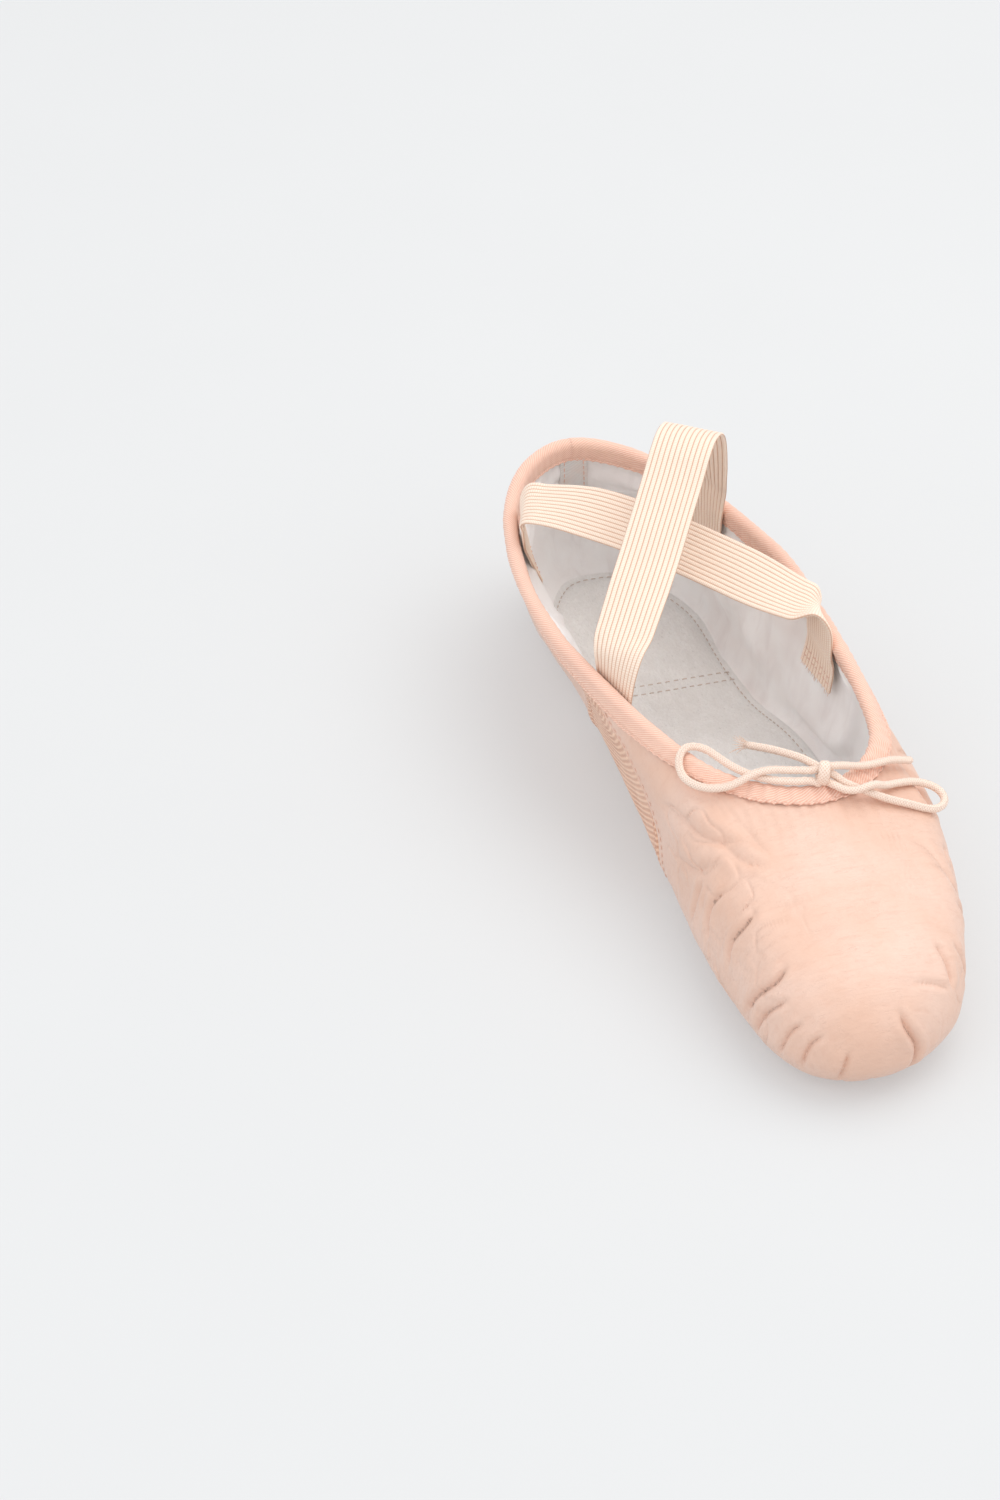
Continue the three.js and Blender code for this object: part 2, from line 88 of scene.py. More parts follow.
def grid_faces(rows, columns, close_rows=False, close_columns=False):
    """Quads of a grid of points numbered row by row."""
    i = np.arange(rows if close_rows else rows - 1)
    j = np.arange(columns if close_columns else columns - 1)
    i, j = np.meshgrid(i, j, indexing="ij")
    i2, j2 = (i + 1) % rows, (j + 1) % columns
    quads = [i * columns + j, i2 * columns + j, i2 * columns + j2, i * columns + j2]
    return np.stack(quads, -1).reshape(-1, 4)


def slab_faces(rows, columns, close_rows=False):
    """Closed shell over an outer grid and an inner grid of the same size."""
    count = rows * columns
    outer = grid_faces(rows, columns, close_rows)
    i = np.arange(rows if close_rows else rows - 1)
    low, low2 = i * columns, (i + 1) % rows * columns
    high, high2 = low + columns - 1, low2 + columns - 1
    rims = [(low, low + count, low2 + count, low2), (high, high2, high2 + count, high + count)]
    if not close_rows:
        j = np.arange(columns - 1)
        k = j + (rows - 1) * columns
        rims += [(j, j + 1, j + 1 + count, j + count), (k, k + count, k + 1 + count, k + 1)]
    return np.concatenate([outer, outer[:, ::-1] + count, *(np.stack(quads, -1) for quads in rims)])


def facing_out(points, faces):
    """The faces, all turned over if they look into the closed form."""
    a, b, c, d = (points[faces[:, k]] for k in range(4))
    volume = np.einsum("ij,ij->", a, np.cross(b, c)) + np.einsum("ij,ij->", a, np.cross(c, d))
    return faces[:, ::-1] if volume < 0 else faces


def make_piece(name, points, faces, material, cloth, crisp=50):
    """Mesh from points in millimetres; cloth gives each point its place on the flat cloth.

    Edges that turn by more than crisp degrees stay sharp.
    """
    points = np.asarray(points, float).reshape(-1, 3)
    faces = facing_out(points, np.asarray(faces))
    mesh = bpy.data.meshes.new(name)
    mesh.vertices.add(len(points))
    mesh.vertices.foreach_set("co", (points * MM).astype(np.float32).ravel())
    mesh.loops.add(faces.size)
    mesh.loops.foreach_set("vertex_index", faces.astype(np.int32).ravel())
    mesh.polygons.add(len(faces))
    mesh.polygons.foreach_set("loop_start", np.arange(0, faces.size, 4, dtype=np.int32))
    mesh.update(calc_edges=True)
    mesh.polygons.foreach_set("use_smooth", np.ones(len(faces), bool))
    layer = mesh.uv_layers.new(name="cloth")
    layer.data.foreach_set("uv", np.asarray(cloth, np.float32).reshape(-1, 2)[faces.ravel()].ravel())
    mesh.validate()
    mesh.set_sharp_from_angle(angle=math.radians(crisp))
    mesh.materials.append(material)
    return placed(name, mesh)


def together(*fields):
    """The fields as one, listed along a new last axis."""
    return np.stack(np.broadcast_arrays(*fields), -1)


def lengths(points):
    """Distance from the first point or row to each one, along the line or grid."""
    steps = np.linalg.norm(np.diff(points, axis=0), axis=-1)
    return np.concatenate([0 * steps[:1], np.cumsum(steps, 0)])


def at_lengths(where, along, values):
    """The line's values at these distances along it."""
    return np.stack([np.interp(where, along, values[:, k]) for k in range(3)], -1)


def spline(points, samples, before=None, after=None):
    """Catmull-Rom curve through points of any shape (n, ...), at samples from 0 to 1."""
    points = np.asarray(points, float)
    last = len(points) - 1
    before = 2 * points[0] - points[1] if before is None else before
    after = 2 * points[-1] - points[-2] if after is None else after
    place = np.clip(samples, 0, 1) * last
    i = np.minimum(last - 1, place.astype(int))
    f = (place - i).reshape(place.shape + (1,) * (points.ndim - 1))
    padded = np.concatenate([[before], points, [after]])
    a, b, c, d = padded[i], padded[i + 1], padded[i + 2], padded[i + 3]
    return 0.5 * (2 * b + (c - a) * f + (2 * a - 5 * b + 4 * c - d) * f ** 2
                  + (3 * b - a - 3 * c + d) * f ** 3)


def evenly(points, count):
    """The line resampled to count points at even distances."""
    along = lengths(points)
    return at_lengths(np.linspace(0, along[-1], count), along, points)


def smooth_line(points, passes):
    """The line with its inner points drawn towards the middle of their neighbours."""
    points = points.copy()
    for _ in range(passes):
        points[1:-1] = 0.5 * points[1:-1] + 0.25 * (points[:-2] + points[2:])
    return points


UP = np.array([0.0, 0.0, 1.0])


def unit(vectors):
    return vectors / np.maximum(np.linalg.norm(vectors, axis=-1, keepdims=True), 1e-12)


def line_frames(line):
    """Tangent and two cross directions along a line, turned as little as possible."""
    tangent = unit(np.gradient(line, axis=0))
    side = np.zeros_like(tangent)
    first = UP if abs(tangent[0] @ UP) <= 0.9 else np.array([1.0, 0.0, 0.0])
    side[0] = unit(first - tangent[0] * (first @ tangent[0]))
    for k in range(1, len(line)):
        turned = side[k - 1] - tangent[k] * (side[k - 1] @ tangent[k])
        side[k] = unit(turned)
    return tangent, side, np.cross(tangent, side)


def tube(line, radius, sides, relief=None, taper=0.35):
    """Points, faces and cloth places of a tube with rounded ends; relief(angle, along) scales it."""
    _, across, over = line_frames(line)
    along = lengths(line)
    angle = np.arange(sides) * 2 * math.pi / sides
    scale = np.ones((len(line), sides))
    if relief is not None:
        scale = relief(angle[None, :], along[:, None])
    ends = np.ones(len(line))
    for k, share in enumerate((taper, 0.85)):
        ends[k] *= share
        ends[-1 - k] *= share
    reach = radius * scale * ends[:, None]
    ring = across[:, None] * np.cos(angle)[None, :, None] + over[:, None] * np.sin(angle)[None, :, None]
    points = line[:, None] + ring * reach[..., None]
    cloth = together(along[:, None], (angle * radius)[None, :])
    faces = grid_faces(len(line), sides, close_columns=True)
    caps = []
    for row in (0, len(line) - 1):
        ids = row * sides + np.arange(sides)
        half = sides // 2
        strip = [(ids[k], ids[k + 1], ids[sides - 2 - k], ids[sides - 1 - k]) for k in range(half - 1)]
        caps.append(strip if row == 0 else [quad[::-1] for quad in strip])
    return points.reshape(-1, 3), np.concatenate([faces, *caps]), cloth.reshape(-1, 2)


# ---- smooth random fields ----


# Large odd factors that scatter the values of neighbouring lattice points.
SCATTER = (374761393, 668265263, 1442695041)
RESCATTER = 1274126177


def lattice(cell, seed):
    """Random value from -1 to 1 at each whole-numbered place."""
    n = (cell @ SCATTER + seed * RESCATTER) & 0xFFFFFFFF
    n = ((n ^ (n >> 13)) * RESCATTER) & 0xFFFFFFFF
    return ((n ^ (n >> 16)) & 0xFFFF) / 0x8000 - 1.0


def noise(points, size, seed):
    """Smooth random field from -1 to 1; size is the width of a lump, one number or three."""
    p = np.asarray(points, float) / size
    cell = np.floor(p).astype(np.int64)
    f = p - cell
    f = f * f * f * (f * (f * 6 - 15) + 10)
    total = 0
    for corner in itertools.product((0, 1), repeat=3):
        weight = np.prod(np.abs(1 - np.array(corner) - f), -1)
        total = total + weight * lattice(cell + corner, seed)
    return total


def ramp(x, low, high):
    """0 below low, 1 above high, smooth between them; low may be the greater."""
    t = np.clip((x - low) / (high - low), 0, 1)
    return t * t * (3 - 2 * t)


def bump(x, middle, width):
    """1 at the middle, falling smoothly to 0 on both sides."""
    return np.exp(-((x - middle) / width) ** 2)

# ---- materials ----


def srgb(red, green, blue):
    """Scene colour of a display colour given from 0 to 255."""
    def linear(c):
        c /= 255
        return c / 12.92 if c <= 0.04045 else ((c + 0.055) / 1.055) ** 2.4
    return (linear(red), linear(green), linear(blue), 1.0)


class Shader:
    """A material's node tree, built step by step."""

    def __init__(self, name, rough, shine, sheen=(0.0, 0.5), **surface):
        self.material = bpy.data.materials.new(name)
        self.material.use_nodes = True
        self.tree = self.material.node_tree
        self.surface = self.tree.nodes["Principled BSDF"]
        surface.update(Roughness=rough, Specular_IOR_Level=shine, Sheen_Weight=sheen[0],
                       Sheen_Roughness=sheen[1])
        for socket, value in surface.items():
            self.surface.inputs[socket.replace("_", " ")].default_value = value

    def add(self, kind, inputs=(), **settings):
        made = self.tree.nodes.new(kind)
        for key, value in settings.items():
            setattr(made, key, value)
        for key, value in dict(inputs).items():
            socket = made.inputs[key]
            if isinstance(value, bpy.types.NodeSocket):
                self.tree.links.new(value, socket)
            else:
                socket.default_value = value
        return made

    def cloth_place(self, scale=(1, 1, 1), turn=0):
        """Place on the flat cloth, in millimetres times scale, turned by some degrees."""
        layer = self.add("ShaderNodeUVMap", uv_map="cloth")
        moved = self.add("ShaderNodeMapping", {0: layer.outputs[0], "Scale": scale,
                                               "Rotation": (0, 0, math.radians(turn))})
        return moved.outputs[0]

    def place(self, scale=(1, 1, 1)):
        """Place in the object, in millimetres times scale."""
        spot = self.add("ShaderNodeTexCoord")
        moved = self.add("ShaderNodeMapping", {0: spot.outputs["Object"],
                                               "Scale": tuple(1000 * s for s in scale)})
        return moved.outputs[0]

    def noise(self, place, scale=1.0, detail=3.0, rough=0.55, distort=0.0):
        made = self.add("ShaderNodeTexNoise", {"Vector": place, "Scale": scale, "Detail": detail,
                                               "Roughness": rough, "Distortion": distort})
        return made.outputs["Fac"]

    def cells(self, place, scale):
        made = self.add("ShaderNodeTexVoronoi", {"Vector": place, "Scale": scale})
        return made.outputs["Distance"]

    def threads(self, turn, scale, distort):
        """Parallel threads on the flat cloth, across a direction turned by some degrees."""
        made = self.add("ShaderNodeTexWave", {"Vector": self.cloth_place(turn=turn), "Scale": scale,
                                              "Distortion": distort, "Detail": 1.5,
                                              "Detail Scale": 2.0})
        return made.outputs["Fac"]

    def math(self, operation, a, b=0.0):
        return self.add("ShaderNodeMath", {0: a, 1: b}, operation=operation).outputs[0]

    def remap(self, value, low, high, start=0.0, end=1.0):
        made = self.add("ShaderNodeMapRange", {"Value": value, "From Min": low, "From Max": high,
                                               "To Min": start, "To Max": end})
        return made.outputs["Result"]

    def mix(self, share, a, b):
        made = self.add("ShaderNodeMix", {0: share, 6: a, 7: b}, data_type="RGBA")
        return made.outputs[2]

    def veins(self, field, width, smooth):
        """Low along the lines where the field is at its middle, except in smooth patches."""
        off_line = self.math("ABSOLUTE", self.math("SUBTRACT", field, 0.5))
        return self.math("MAXIMUM", self.remap(off_line, 0.0, width), smooth)

    def tint(self, tone, shade, most, field, low, high):
        """The tone with up to this much of a shade, where the field runs from low to high."""
        return self.mix(self.math("MULTIPLY", self.remap(field, low, high), most), tone, shade)

    def roughness(self, value):
        self.tree.links.new(value, self.surface.inputs["Roughness"])

    def finished(self, tone, *bumps):
        """The material in this tone, with bumps of (height, strength, distance in millimetres)."""
        self.tree.links.new(tone, self.surface.inputs["Base Color"])
        normal = None
        for height, strength, distance in bumps:
            inputs = {"Height": height, "Strength": strength, "Distance": distance * MM}
            if normal is not None:
                inputs["Normal"] = normal
            normal = self.add("ShaderNodeBump", inputs).outputs["Normal"]
        self.tree.links.new(normal, self.surface.inputs["Normal"])
        return self.material


LEATHER_TONES = (srgb(225, 185, 163), srgb(211, 163, 139), srgb(231, 197, 179))


def leather_material():
    m = Shader("soft_leather", 0.5, 0.5, (0.1, 0.4), Coat_Weight=0.4, Coat_Roughness=0.4)
    spot = m.place()
    grain = m.cells(spot, 2.3)
    pores = m.noise(spot, 1.6, 4, 0.65)
    across = m.noise(m.place((1.0, 0.22, 0.5)), 0.85, 4, 0.6, 0.6)
    along = m.noise(m.place((0.3, 0.9, 0.9)), 0.55, 3, 0.6, 0.8)
    patches = m.noise(spot, 0.045, 3, 0.5)
    mottle = m.noise(spot, 0.3, 4, 0.6)
    base, deep, pale = LEATHER_TONES
    tone = m.mix(m.remap(patches, 0.35, 0.65), base, pale)
    tone = m.tint(tone, deep, 0.16, mottle, 0.45, 0.8)
    # Painted shade: the deep tone is mixed in where the across field is low, which is the valleys of the
    # wrinkles that the same field bumps (the mottle above is random tone).
    tone = m.tint(tone, deep, 0.22, across, 0.47, 0.3)
    m.roughness(m.remap(pores, 0.3, 0.7, 0.4, 0.55))
    smooth = m.remap(m.noise(spot, 0.09, 2), 0.42, 0.62, 1.0, 0.0)
    lines = m.veins(m.noise(m.place((1.0, 0.2, 0.45)), 0.62, 2, 0.5, 1.2), 0.035, smooth)
    crackle = m.veins(m.noise(m.place((0.8, 0.7, 0.7)), 0.4, 2, 0.5, 1.6), 0.03, smooth)
    return m.finished(tone, (lines, 0.28, 0.3), (crackle, 0.15, 0.25), (across, 0.55, 0.4),
                      (along, 0.26, 0.3), (pores, 0.3, 0.1), (grain, 0.22, 0.06))


def stretch_material():
    m = Shader("stretch_twill", 0.78, 0.2, (0.25, 0.4))
    ribs = m.threads(38, 0.26, 0.25)
    threads = m.threads(-52, 0.55, 0.5)
    fuzz = m.noise(m.cloth_place(turn=38), 2.5, 3)
    patches = m.noise(m.place(), 0.08, 2)
    tone = m.mix(m.remap(ribs, 0.1, 0.9), srgb(205, 150, 122), srgb(240, 196, 168))
    tone = m.tint(tone, srgb(247, 214, 190), 0.25, threads, 0.3, 0.9)
    tone = m.tint(tone, srgb(250, 220, 198), 0.3, patches, 0.4, 0.7)
    return m.finished(tone, (ribs, 0.8, 0.28), (threads, 0.3, 0.1), (fuzz, 0.2, 0.06))


def lining_material():
    m = Shader("cotton_lining", 0.82, 0.2, (0.3, 0.35))
    weave = m.threads(0, 0.5, 0.15)
    weft = m.threads(90, 0.42, 0.15)
    folds = m.noise(m.place((0.6, 0.6, 0.2)), 0.3, 3, 0.55, 0.5)
    patches = m.noise(m.place(), 0.06, 2)
    tone = m.mix(m.remap(patches, 0.35, 0.7), srgb(252, 251, 250), srgb(243, 238, 236))
    # Painted shade: greyer in the valleys of the folds that the same field bumps.
    tone = m.tint(tone, srgb(226, 218, 217), 0.3, folds, 0.5, 0.3)
    return m.finished(tone, (folds, 0.5, 0.7), (weave, 0.25, 0.08), (weft, 0.25, 0.08))


def insole_material():
    m = Shader("brushed_insole", 0.95, 0.1, (0.35, 0.6))
    spot = m.place()
    nap = m.noise(m.place((0.5, 1.1, 1)), 1.7, 5, 0.7)
    fibres = m.noise(m.place((0.35, 1.4, 1)), 3.2, 4, 0.75)
    brushed = m.noise(m.place((0.5, 1, 1)), 0.18, 4, 0.65, 0.5)
    worn = m.noise(spot, 0.035, 3)
    tone = m.mix(m.remap(nap, 0.3, 0.7), srgb(238, 235, 232), srgb(255, 254, 252))
    tone = m.tint(tone, srgb(226, 222, 218), 0.4, brushed, 0.35, 0.7)
    tone = m.tint(tone, srgb(243, 242, 239), 0.35, worn, 0.45, 0.75)
    specks = m.noise(m.place((0.7, 1.3, 1)), 1.1, 5, 0.7)
    tone = m.tint(tone, srgb(176, 173, 170), 0.55, specks, 0.6, 0.72)
    return m.finished(tone, (brushed, 0.7, 0.7), (specks, 0.6, 0.4), (nap, 0.9, 0.4), (fibres, 0.5, 0.16))


def suede_material():
    m = Shader("sole_suede", 0.97, 0.08, (0.3, 0.7))
    spot = m.place()
    nap = m.noise(spot, 2.2, 5, 0.75)
    brushed = m.noise(m.place((0.5, 1.2, 1)), 0.12, 4, 0.6, 0.8)
    scuffs = m.noise(m.place((0.25, 1.0, 1)), 0.35, 3, 0.6, 1.0)
    tone = m.mix(m.remap(nap, 0.3, 0.7), srgb(133, 115, 101), srgb(172, 153, 137))
    tone = m.tint(tone, srgb(186, 168, 152), 0.4, brushed, 0.35, 0.7)
    tone = m.tint(tone, srgb(112, 98, 88), 0.5, scuffs, 0.6, 0.75)
    return m.finished(tone, (brushed, 0.3, 0.4), (nap, 0.7, 0.3))


def tape_material(name, dark, light):
    m = Shader(name, 0.8, 0.2, (0.25, 0.4))
    twill = m.threads(55, 0.5, 0.2)
    threads = m.threads(-35, 0.7, 0.3)
    patches = m.noise(m.place(), 0.12, 3)
    fuzz = m.noise(m.place(), 3.0, 3)
    tone = m.mix(m.remap(twill, 0.15, 0.85), dark, light)
    tone = m.tint(tone, srgb(246, 208, 187), 0.35, patches, 0.4, 0.7)
    return m.finished(tone, (twill, 0.7, 0.14), (threads, 0.35, 0.07), (fuzz, 0.25, 0.06))


RIBS_PER_MM = 0.75


def elastic_material():
    m = Shader("ribbed_elastic", 0.75, 0.22, (0.25, 0.35))
    weft = m.threads(0, 0.62, 0.12)
    warp = m.threads(90, 1.35, 0.1)
    patches = m.noise(m.cloth_place((0.3, 1, 1)), 0.15, 3)
    tone = m.mix(m.remap(weft, 0.1, 0.9), srgb(244, 219, 199), srgb(254, 238, 222))
    tone = m.tint(tone, srgb(240, 214, 195), 0.2, patches, 0.4, 0.75)
    # Painted shade: a darker tone along the grooves between the ribs, lined up with the grooves that
    # ribbed() shapes in the band.
    across = m.add("ShaderNodeSeparateXYZ", {0: m.cloth_place()}).outputs["Y"]
    rib = m.math("ABSOLUTE", m.math("SINE", m.math("MULTIPLY", across, math.pi * RIBS_PER_MM)))
    tone = m.mix(m.remap(rib, 0.45, 0.1), tone, srgb(216, 176, 150))
    return m.finished(tone, (weft, 0.5, 0.12), (warp, 0.35, 0.06))


def cord_material():
    m = Shader("braided_cord", 0.72, 0.25, (0.25, 0.35))
    left = m.threads(40, 0.55, 0.1)
    right = m.threads(-40, 0.55, 0.1)
    braid = m.math("MAXIMUM", left, right)
    patches = m.noise(m.place(), 0.5, 3)
    tone = m.mix(m.remap(braid, 0.4, 1.0), srgb(228, 198, 178), srgb(252, 234, 220))
    tone = m.tint(tone, srgb(243, 216, 198), 0.25, patches, 0.4, 0.7)
    return m.finished(tone, (braid, 0.6, 0.12))


def thread_material(name, shade):
    m = Shader(name, 0.6, 0.3, (0.2, 0.3))
    twist = m.threads(35, 1.6, 0.1)
    tone = m.mix(m.remap(twist, 0.2, 0.8), shade, srgb(250, 226, 210))
    return m.finished(tone, (twist, 0.6, 0.05))


LEATHER = leather_material()
STRETCH = stretch_material()
LINING = lining_material()
INSOLE = insole_material()
SUEDE = suede_material()
TAPE = tape_material("binding_twill", srgb(234, 182, 160), srgb(250, 214, 196))
ELASTIC = elastic_material()
CORD = cord_material()
TAPE_PALE = tape_material("back_tape_twill", srgb(226, 222, 220), srgb(242, 240, 237))
THREAD = thread_material("pink_thread", srgb(214, 158, 134))
GREY_THREAD = thread_material("grey_thread", srgb(168, 163, 160))

# ---- shape of the upper ----

# Half outlines from toe to heel: widest line of the wall, and the topline.
SILHOUETTE = np.array([[118, 0], [113, 16.5], [98, 27], [66, 33], [28, 33], [-10, 30], [-50, 27.5],
                       [-86, 27.5], [-110, 16.5], [-118, 0]], float)
TOPLINE = np.array([[51, 0, 44.5], [47, 12.5, 44.5], [35, 24, 45], [14, 31, 46], [-12, 35.5, 47.5],
                    [-37, 37.5, 48.5], [-62, 34.5, 47.5], [-86, 27.5, 47.5], [-104, 15.5, 49],
                    [-111, 0, 50]], float)
WIDEST_HEIGHT = [13, 13, 13, 14, 15, 16, 17, 19, 20, 20]
SOLE_INSET = [14, 13, 12, 10, 9, 9, 9, 9, 10, 12]
CENTRE_Y = 6.6
SWAY = {"by": -9.7, "start": 30, "length": 88, "power": 1.6}
LEAN = {"by": -8.3, "start": 60, "length": 80, "low": 10, "over": 40}
# How the walls swell: a wall with little reach is a side, one with much is the front.
SWELL = {"least_reach": 8, "reach_span": 60, "side_low": 0.45, "front_low": 22,
         "front_out": 0.45, "side_high": 0.4, "front_high": 0.16}
SOLE_CLEARANCE = 1.4
ARCH = {"middle": -7, "half": 37, "rise": 7}
WRAP_SHARE = 0.25
PROBE = 1e-4
TOP_SHARE = 0.05
FRONT_SEAM = 16 / 36
REAR_SEAM = (23 / 36, 20 / 36)
SEAM_GAP = 0.0012
SEAM_TUCK = 0.003
BACK_GAP = 0.003
UNDER_SHARE = 0.2


def along_list(values, u, sign):
    """Smooth curve through the values; sign mirrors them past both ends."""
    return spline(values, np.asarray(u, float), sign * values[1], sign * values[-2])


def arch_lift(x):
    """Height of the underside of the upper, which rises under the arch."""
    t = np.clip(np.abs(x - ARCH["middle"]) / ARCH["half"], 0, 1)
    return SOLE_CLEARANCE + ARCH["rise"] / 2 * (1 + np.cos(math.pi * t))


def settle(points):
    """Sways the toe to one side and leans the heel over."""
    x, z = points[..., 0], points[..., 2]
    sway = SWAY["by"] * np.clip((x - SWAY["start"]) / SWAY["length"], 0, 1) ** SWAY["power"]
    lean = LEAN["by"] * np.clip((LEAN["start"] - x) / LEAN["length"], 0, 1)
    points = points.copy()
    points[..., 1] += CENTRE_Y + sway + lean * (z - LEAN["low"]) / LEAN["over"]
    return points


def along_outline(outline, u):
    """Point of a half outline, whose other half is its mirror image in y."""
    return [along_list(outline[:, k], u, -1 if k == 1 else 1) for k in range(outline.shape[1])]


def sole_edge(u, inset):
    """Widest outline, and the same outline moved in by inset."""
    x, y = along_outline(SILHOUETTE, u)
    dx, dy = np.subtract(along_outline(SILHOUETTE, u + PROBE), along_outline(SILHOUETTE, u - PROBE))
    end = (u < PROBE) | (u > 1 - PROBE)
    dx = np.where(end, 0.0, dx)
    dy = np.where(end, np.where(u < 0.5, 1.0, -1.0), dy)
    size = np.hypot(dx, dy)
    return x, y, x - dy / size * inset, y + dx / size * inset


def outer_face(v, s):
    """Outside of the leather: v runs toe 0 to heel 1 on each side, s from the sole up."""
    v, s = np.broadcast_arrays(np.asarray(v, float), np.asarray(s, float))
    turn = v - 2 * np.round(v / 2)
    side, u = np.where(turn < 0, -1.0, 1.0), np.abs(turn)
    ex, ey, bx, by = sole_edge(u, along_list(SOLE_INSET, u, 1))
    widest = along_list(WIDEST_HEIGHT, u, 1)
    base = arch_lift(bx)
    angle = np.clip(s / WRAP_SHARE, 0, 1) * math.pi / 2
    out = np.sin(angle)
    wrap = np.stack([bx + (ex - bx) * out, side * (by + (ey - by) * out),
                     base + (widest - base) * (1 - np.cos(angle))], -1)
    top = np.stack(along_outline(TOPLINE, u), -1)
    start = np.stack([ex, ey, widest], -1)
    outward = start - top
    outward[..., 2] = 0
    reach = np.linalg.norm(outward, axis=-1)
    rise = top[..., 2] - widest
    front = np.clip((reach - SWELL["least_reach"]) / SWELL["reach_span"], 0, 1)
    lower = start.copy()
    lower[..., 2] += SWELL["side_low"] * rise * (1 - front) + SWELL["front_low"] * front
    upper = top + outward * (SWELL["front_out"] * front)[..., None]
    upper[..., 2] -= SWELL["side_high"] * rise * (1 - front) + SWELL["front_high"] * reach * front
    t = np.clip((s - WRAP_SHARE) / (1 - WRAP_SHARE), 0, None)[..., None]
    wall = (1 - t) ** 3 * start + 3 * (1 - t) ** 2 * t * lower + 3 * (1 - t) * t * t * upper + t ** 3 * top
    wall[..., 1] *= side
    return settle(np.where((s < WRAP_SHARE)[..., None], wrap, wall))


def face_normal(face, a, b):
    """Unit normal of the face at its places a, b."""
    da = face(a + PROBE, b) - face(a - PROBE, b)
    db = face(a, np.minimum(1, b + PROBE)) - face(a, np.maximum(0, b - PROBE))
    return unit(np.cross(da, db))


def pushed(v, s, depth):
    """Point of the outer face moved in by depth."""
    return outer_face(v, s) - face_normal(outer_face, v, s) * np.asarray(depth)[..., None]


def top_frame(v):
    """Along the topline, up the wall, speed, shear and rise there."""
    along = (outer_face(v + PROBE, 1) - outer_face(v - PROBE, 1)) / (2 * PROBE)
    up = (outer_face(v, 1) - outer_face(v, 1 - TOP_SHARE)) / TOP_SHARE
    speed = np.linalg.norm(along, axis=-1)
    along = along / speed[..., None]
    shear = np.sum(up * along, -1)
    up = up - along * shear[..., None]
    rise = np.linalg.norm(up, axis=-1)
    return along, up / rise[..., None], speed, shear, rise


def rim(v, a, b):
    """Place near the topline: a outside the leather, b above its edge."""
    v, a, b = np.broadcast_arrays(np.asarray(v, float), a, b)
    _, up, speed, shear, rise = top_frame(v)
    drop = np.minimum(0, b) / rise
    return (pushed(v - drop * shear / speed, 1 + drop, -a)
            + up * np.maximum(0, b)[..., None])


def wall_place(v, x, z):
    """Station and share of the point on a side wall that has the given x and z."""
    v = np.broadcast_to(np.asarray(v, float), np.shape(x)).copy()
    s = np.full_like(v, 0.8)
    for _ in range(12):
        p = outer_face(v, s)
        dv = (outer_face(v + PROBE, s) - p) / PROBE
        ds = (outer_face(v, s + PROBE) - p) / PROBE
        det = dv[..., 0] * ds[..., 2] - ds[..., 0] * dv[..., 2]
        ex, ez = x - p[..., 0], z - p[..., 2]
        v = v + (ex * ds[..., 2] - ds[..., 0] * ez) / det
        s = np.minimum(1, s + (dv[..., 0] * ez - dv[..., 2] * ex) / det)
    return v, s


def rear_seam(s):
    """Station of the seam between the arch panel and the quarter, at share s of the height."""
    return REAR_SEAM[0] + (REAR_SEAM[1] - REAR_SEAM[0]) * s

# ---- small parts ----


def joined_piece(name, parts, material=THREAD):
    """One piece made of several (points, faces, cloth) parts."""
    points, faces, cloth = zip(*parts)
    starts = np.cumsum([0, *(len(part) for part in points[:-1])])
    faces = [part + start for part, start in zip(faces, starts)]
    return make_piece(name, np.concatenate(points), np.concatenate(faces), material,
                      np.concatenate(cloth))


def cord_piece(name, *shape):
    """A cord, smooth all round; its shape is what tube takes."""
    points, faces, cloth = tube(*shape)
    return make_piece(name, points, faces, CORD, cloth, crisp=80)


def riding(piece, body, slot, *nodes):
    """The piece, moved with one body and standing for these nodes."""
    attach(piece, body)
    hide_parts(*nodes)
    return piece


def bending(piece, slot, *nodes):
    """The piece, with its placement baked into its points and standing for these nodes."""
    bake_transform(piece)
    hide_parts(*nodes)
    return piece


def stitch_row(line, normals, length=1.8, pitch=2.6, radius=0.17, lift=0.1):
    """Short threads along a line that lies on a surface with these normals."""
    normals = np.broadcast_to(normals, line.shape)
    along = lengths(line)
    count = max(1, int(along[-1] / pitch))
    centres = (np.arange(count) + 0.5) * along[-1] / count
    shares = np.array([-0.5, -0.36, 0, 0.36, 0.5])
    rises = np.array([-0.2, lift * 0.6, lift, lift * 0.6, -0.2])
    where = centres[:, None] + shares * length
    spot = at_lengths(where, along, line)
    normal = unit(at_lengths(where, along, normals))
    spot = spot + normal * rises[:, None]
    tangent = unit(np.gradient(spot, axis=1))
    side = unit(np.cross(tangent, normal))
    over = np.cross(side, tangent)
    angle = np.arange(6) * math.pi / 3
    widths = radius * np.array([0.6, 1, 1, 1, 0.6])
    ring = (side[:, :, None] * np.cos(angle)[:, None] + over[:, :, None] * np.sin(angle)[:, None])
    points = spot[:, :, None] + ring * widths[:, None, None]
    one = np.concatenate([grid_faces(5, 6, close_columns=True),
                          [(0, 1, 4, 5), (1, 2, 3, 4), (29, 28, 25, 24), (28, 27, 26, 25)]])
    faces = (one[None] + (np.arange(count) * 30)[:, None, None]).reshape(-1, 4)
    cloth = together(where[:, :, None], radius * angle)
    return points.reshape(-1, 3), faces, cloth.reshape(-1, 2)


def grid_normals(grid):
    """Unit normals of a grid of points."""
    return unit(np.cross(np.gradient(grid, axis=0), np.gradient(grid, axis=1)))


# ---- drawstring bow ----

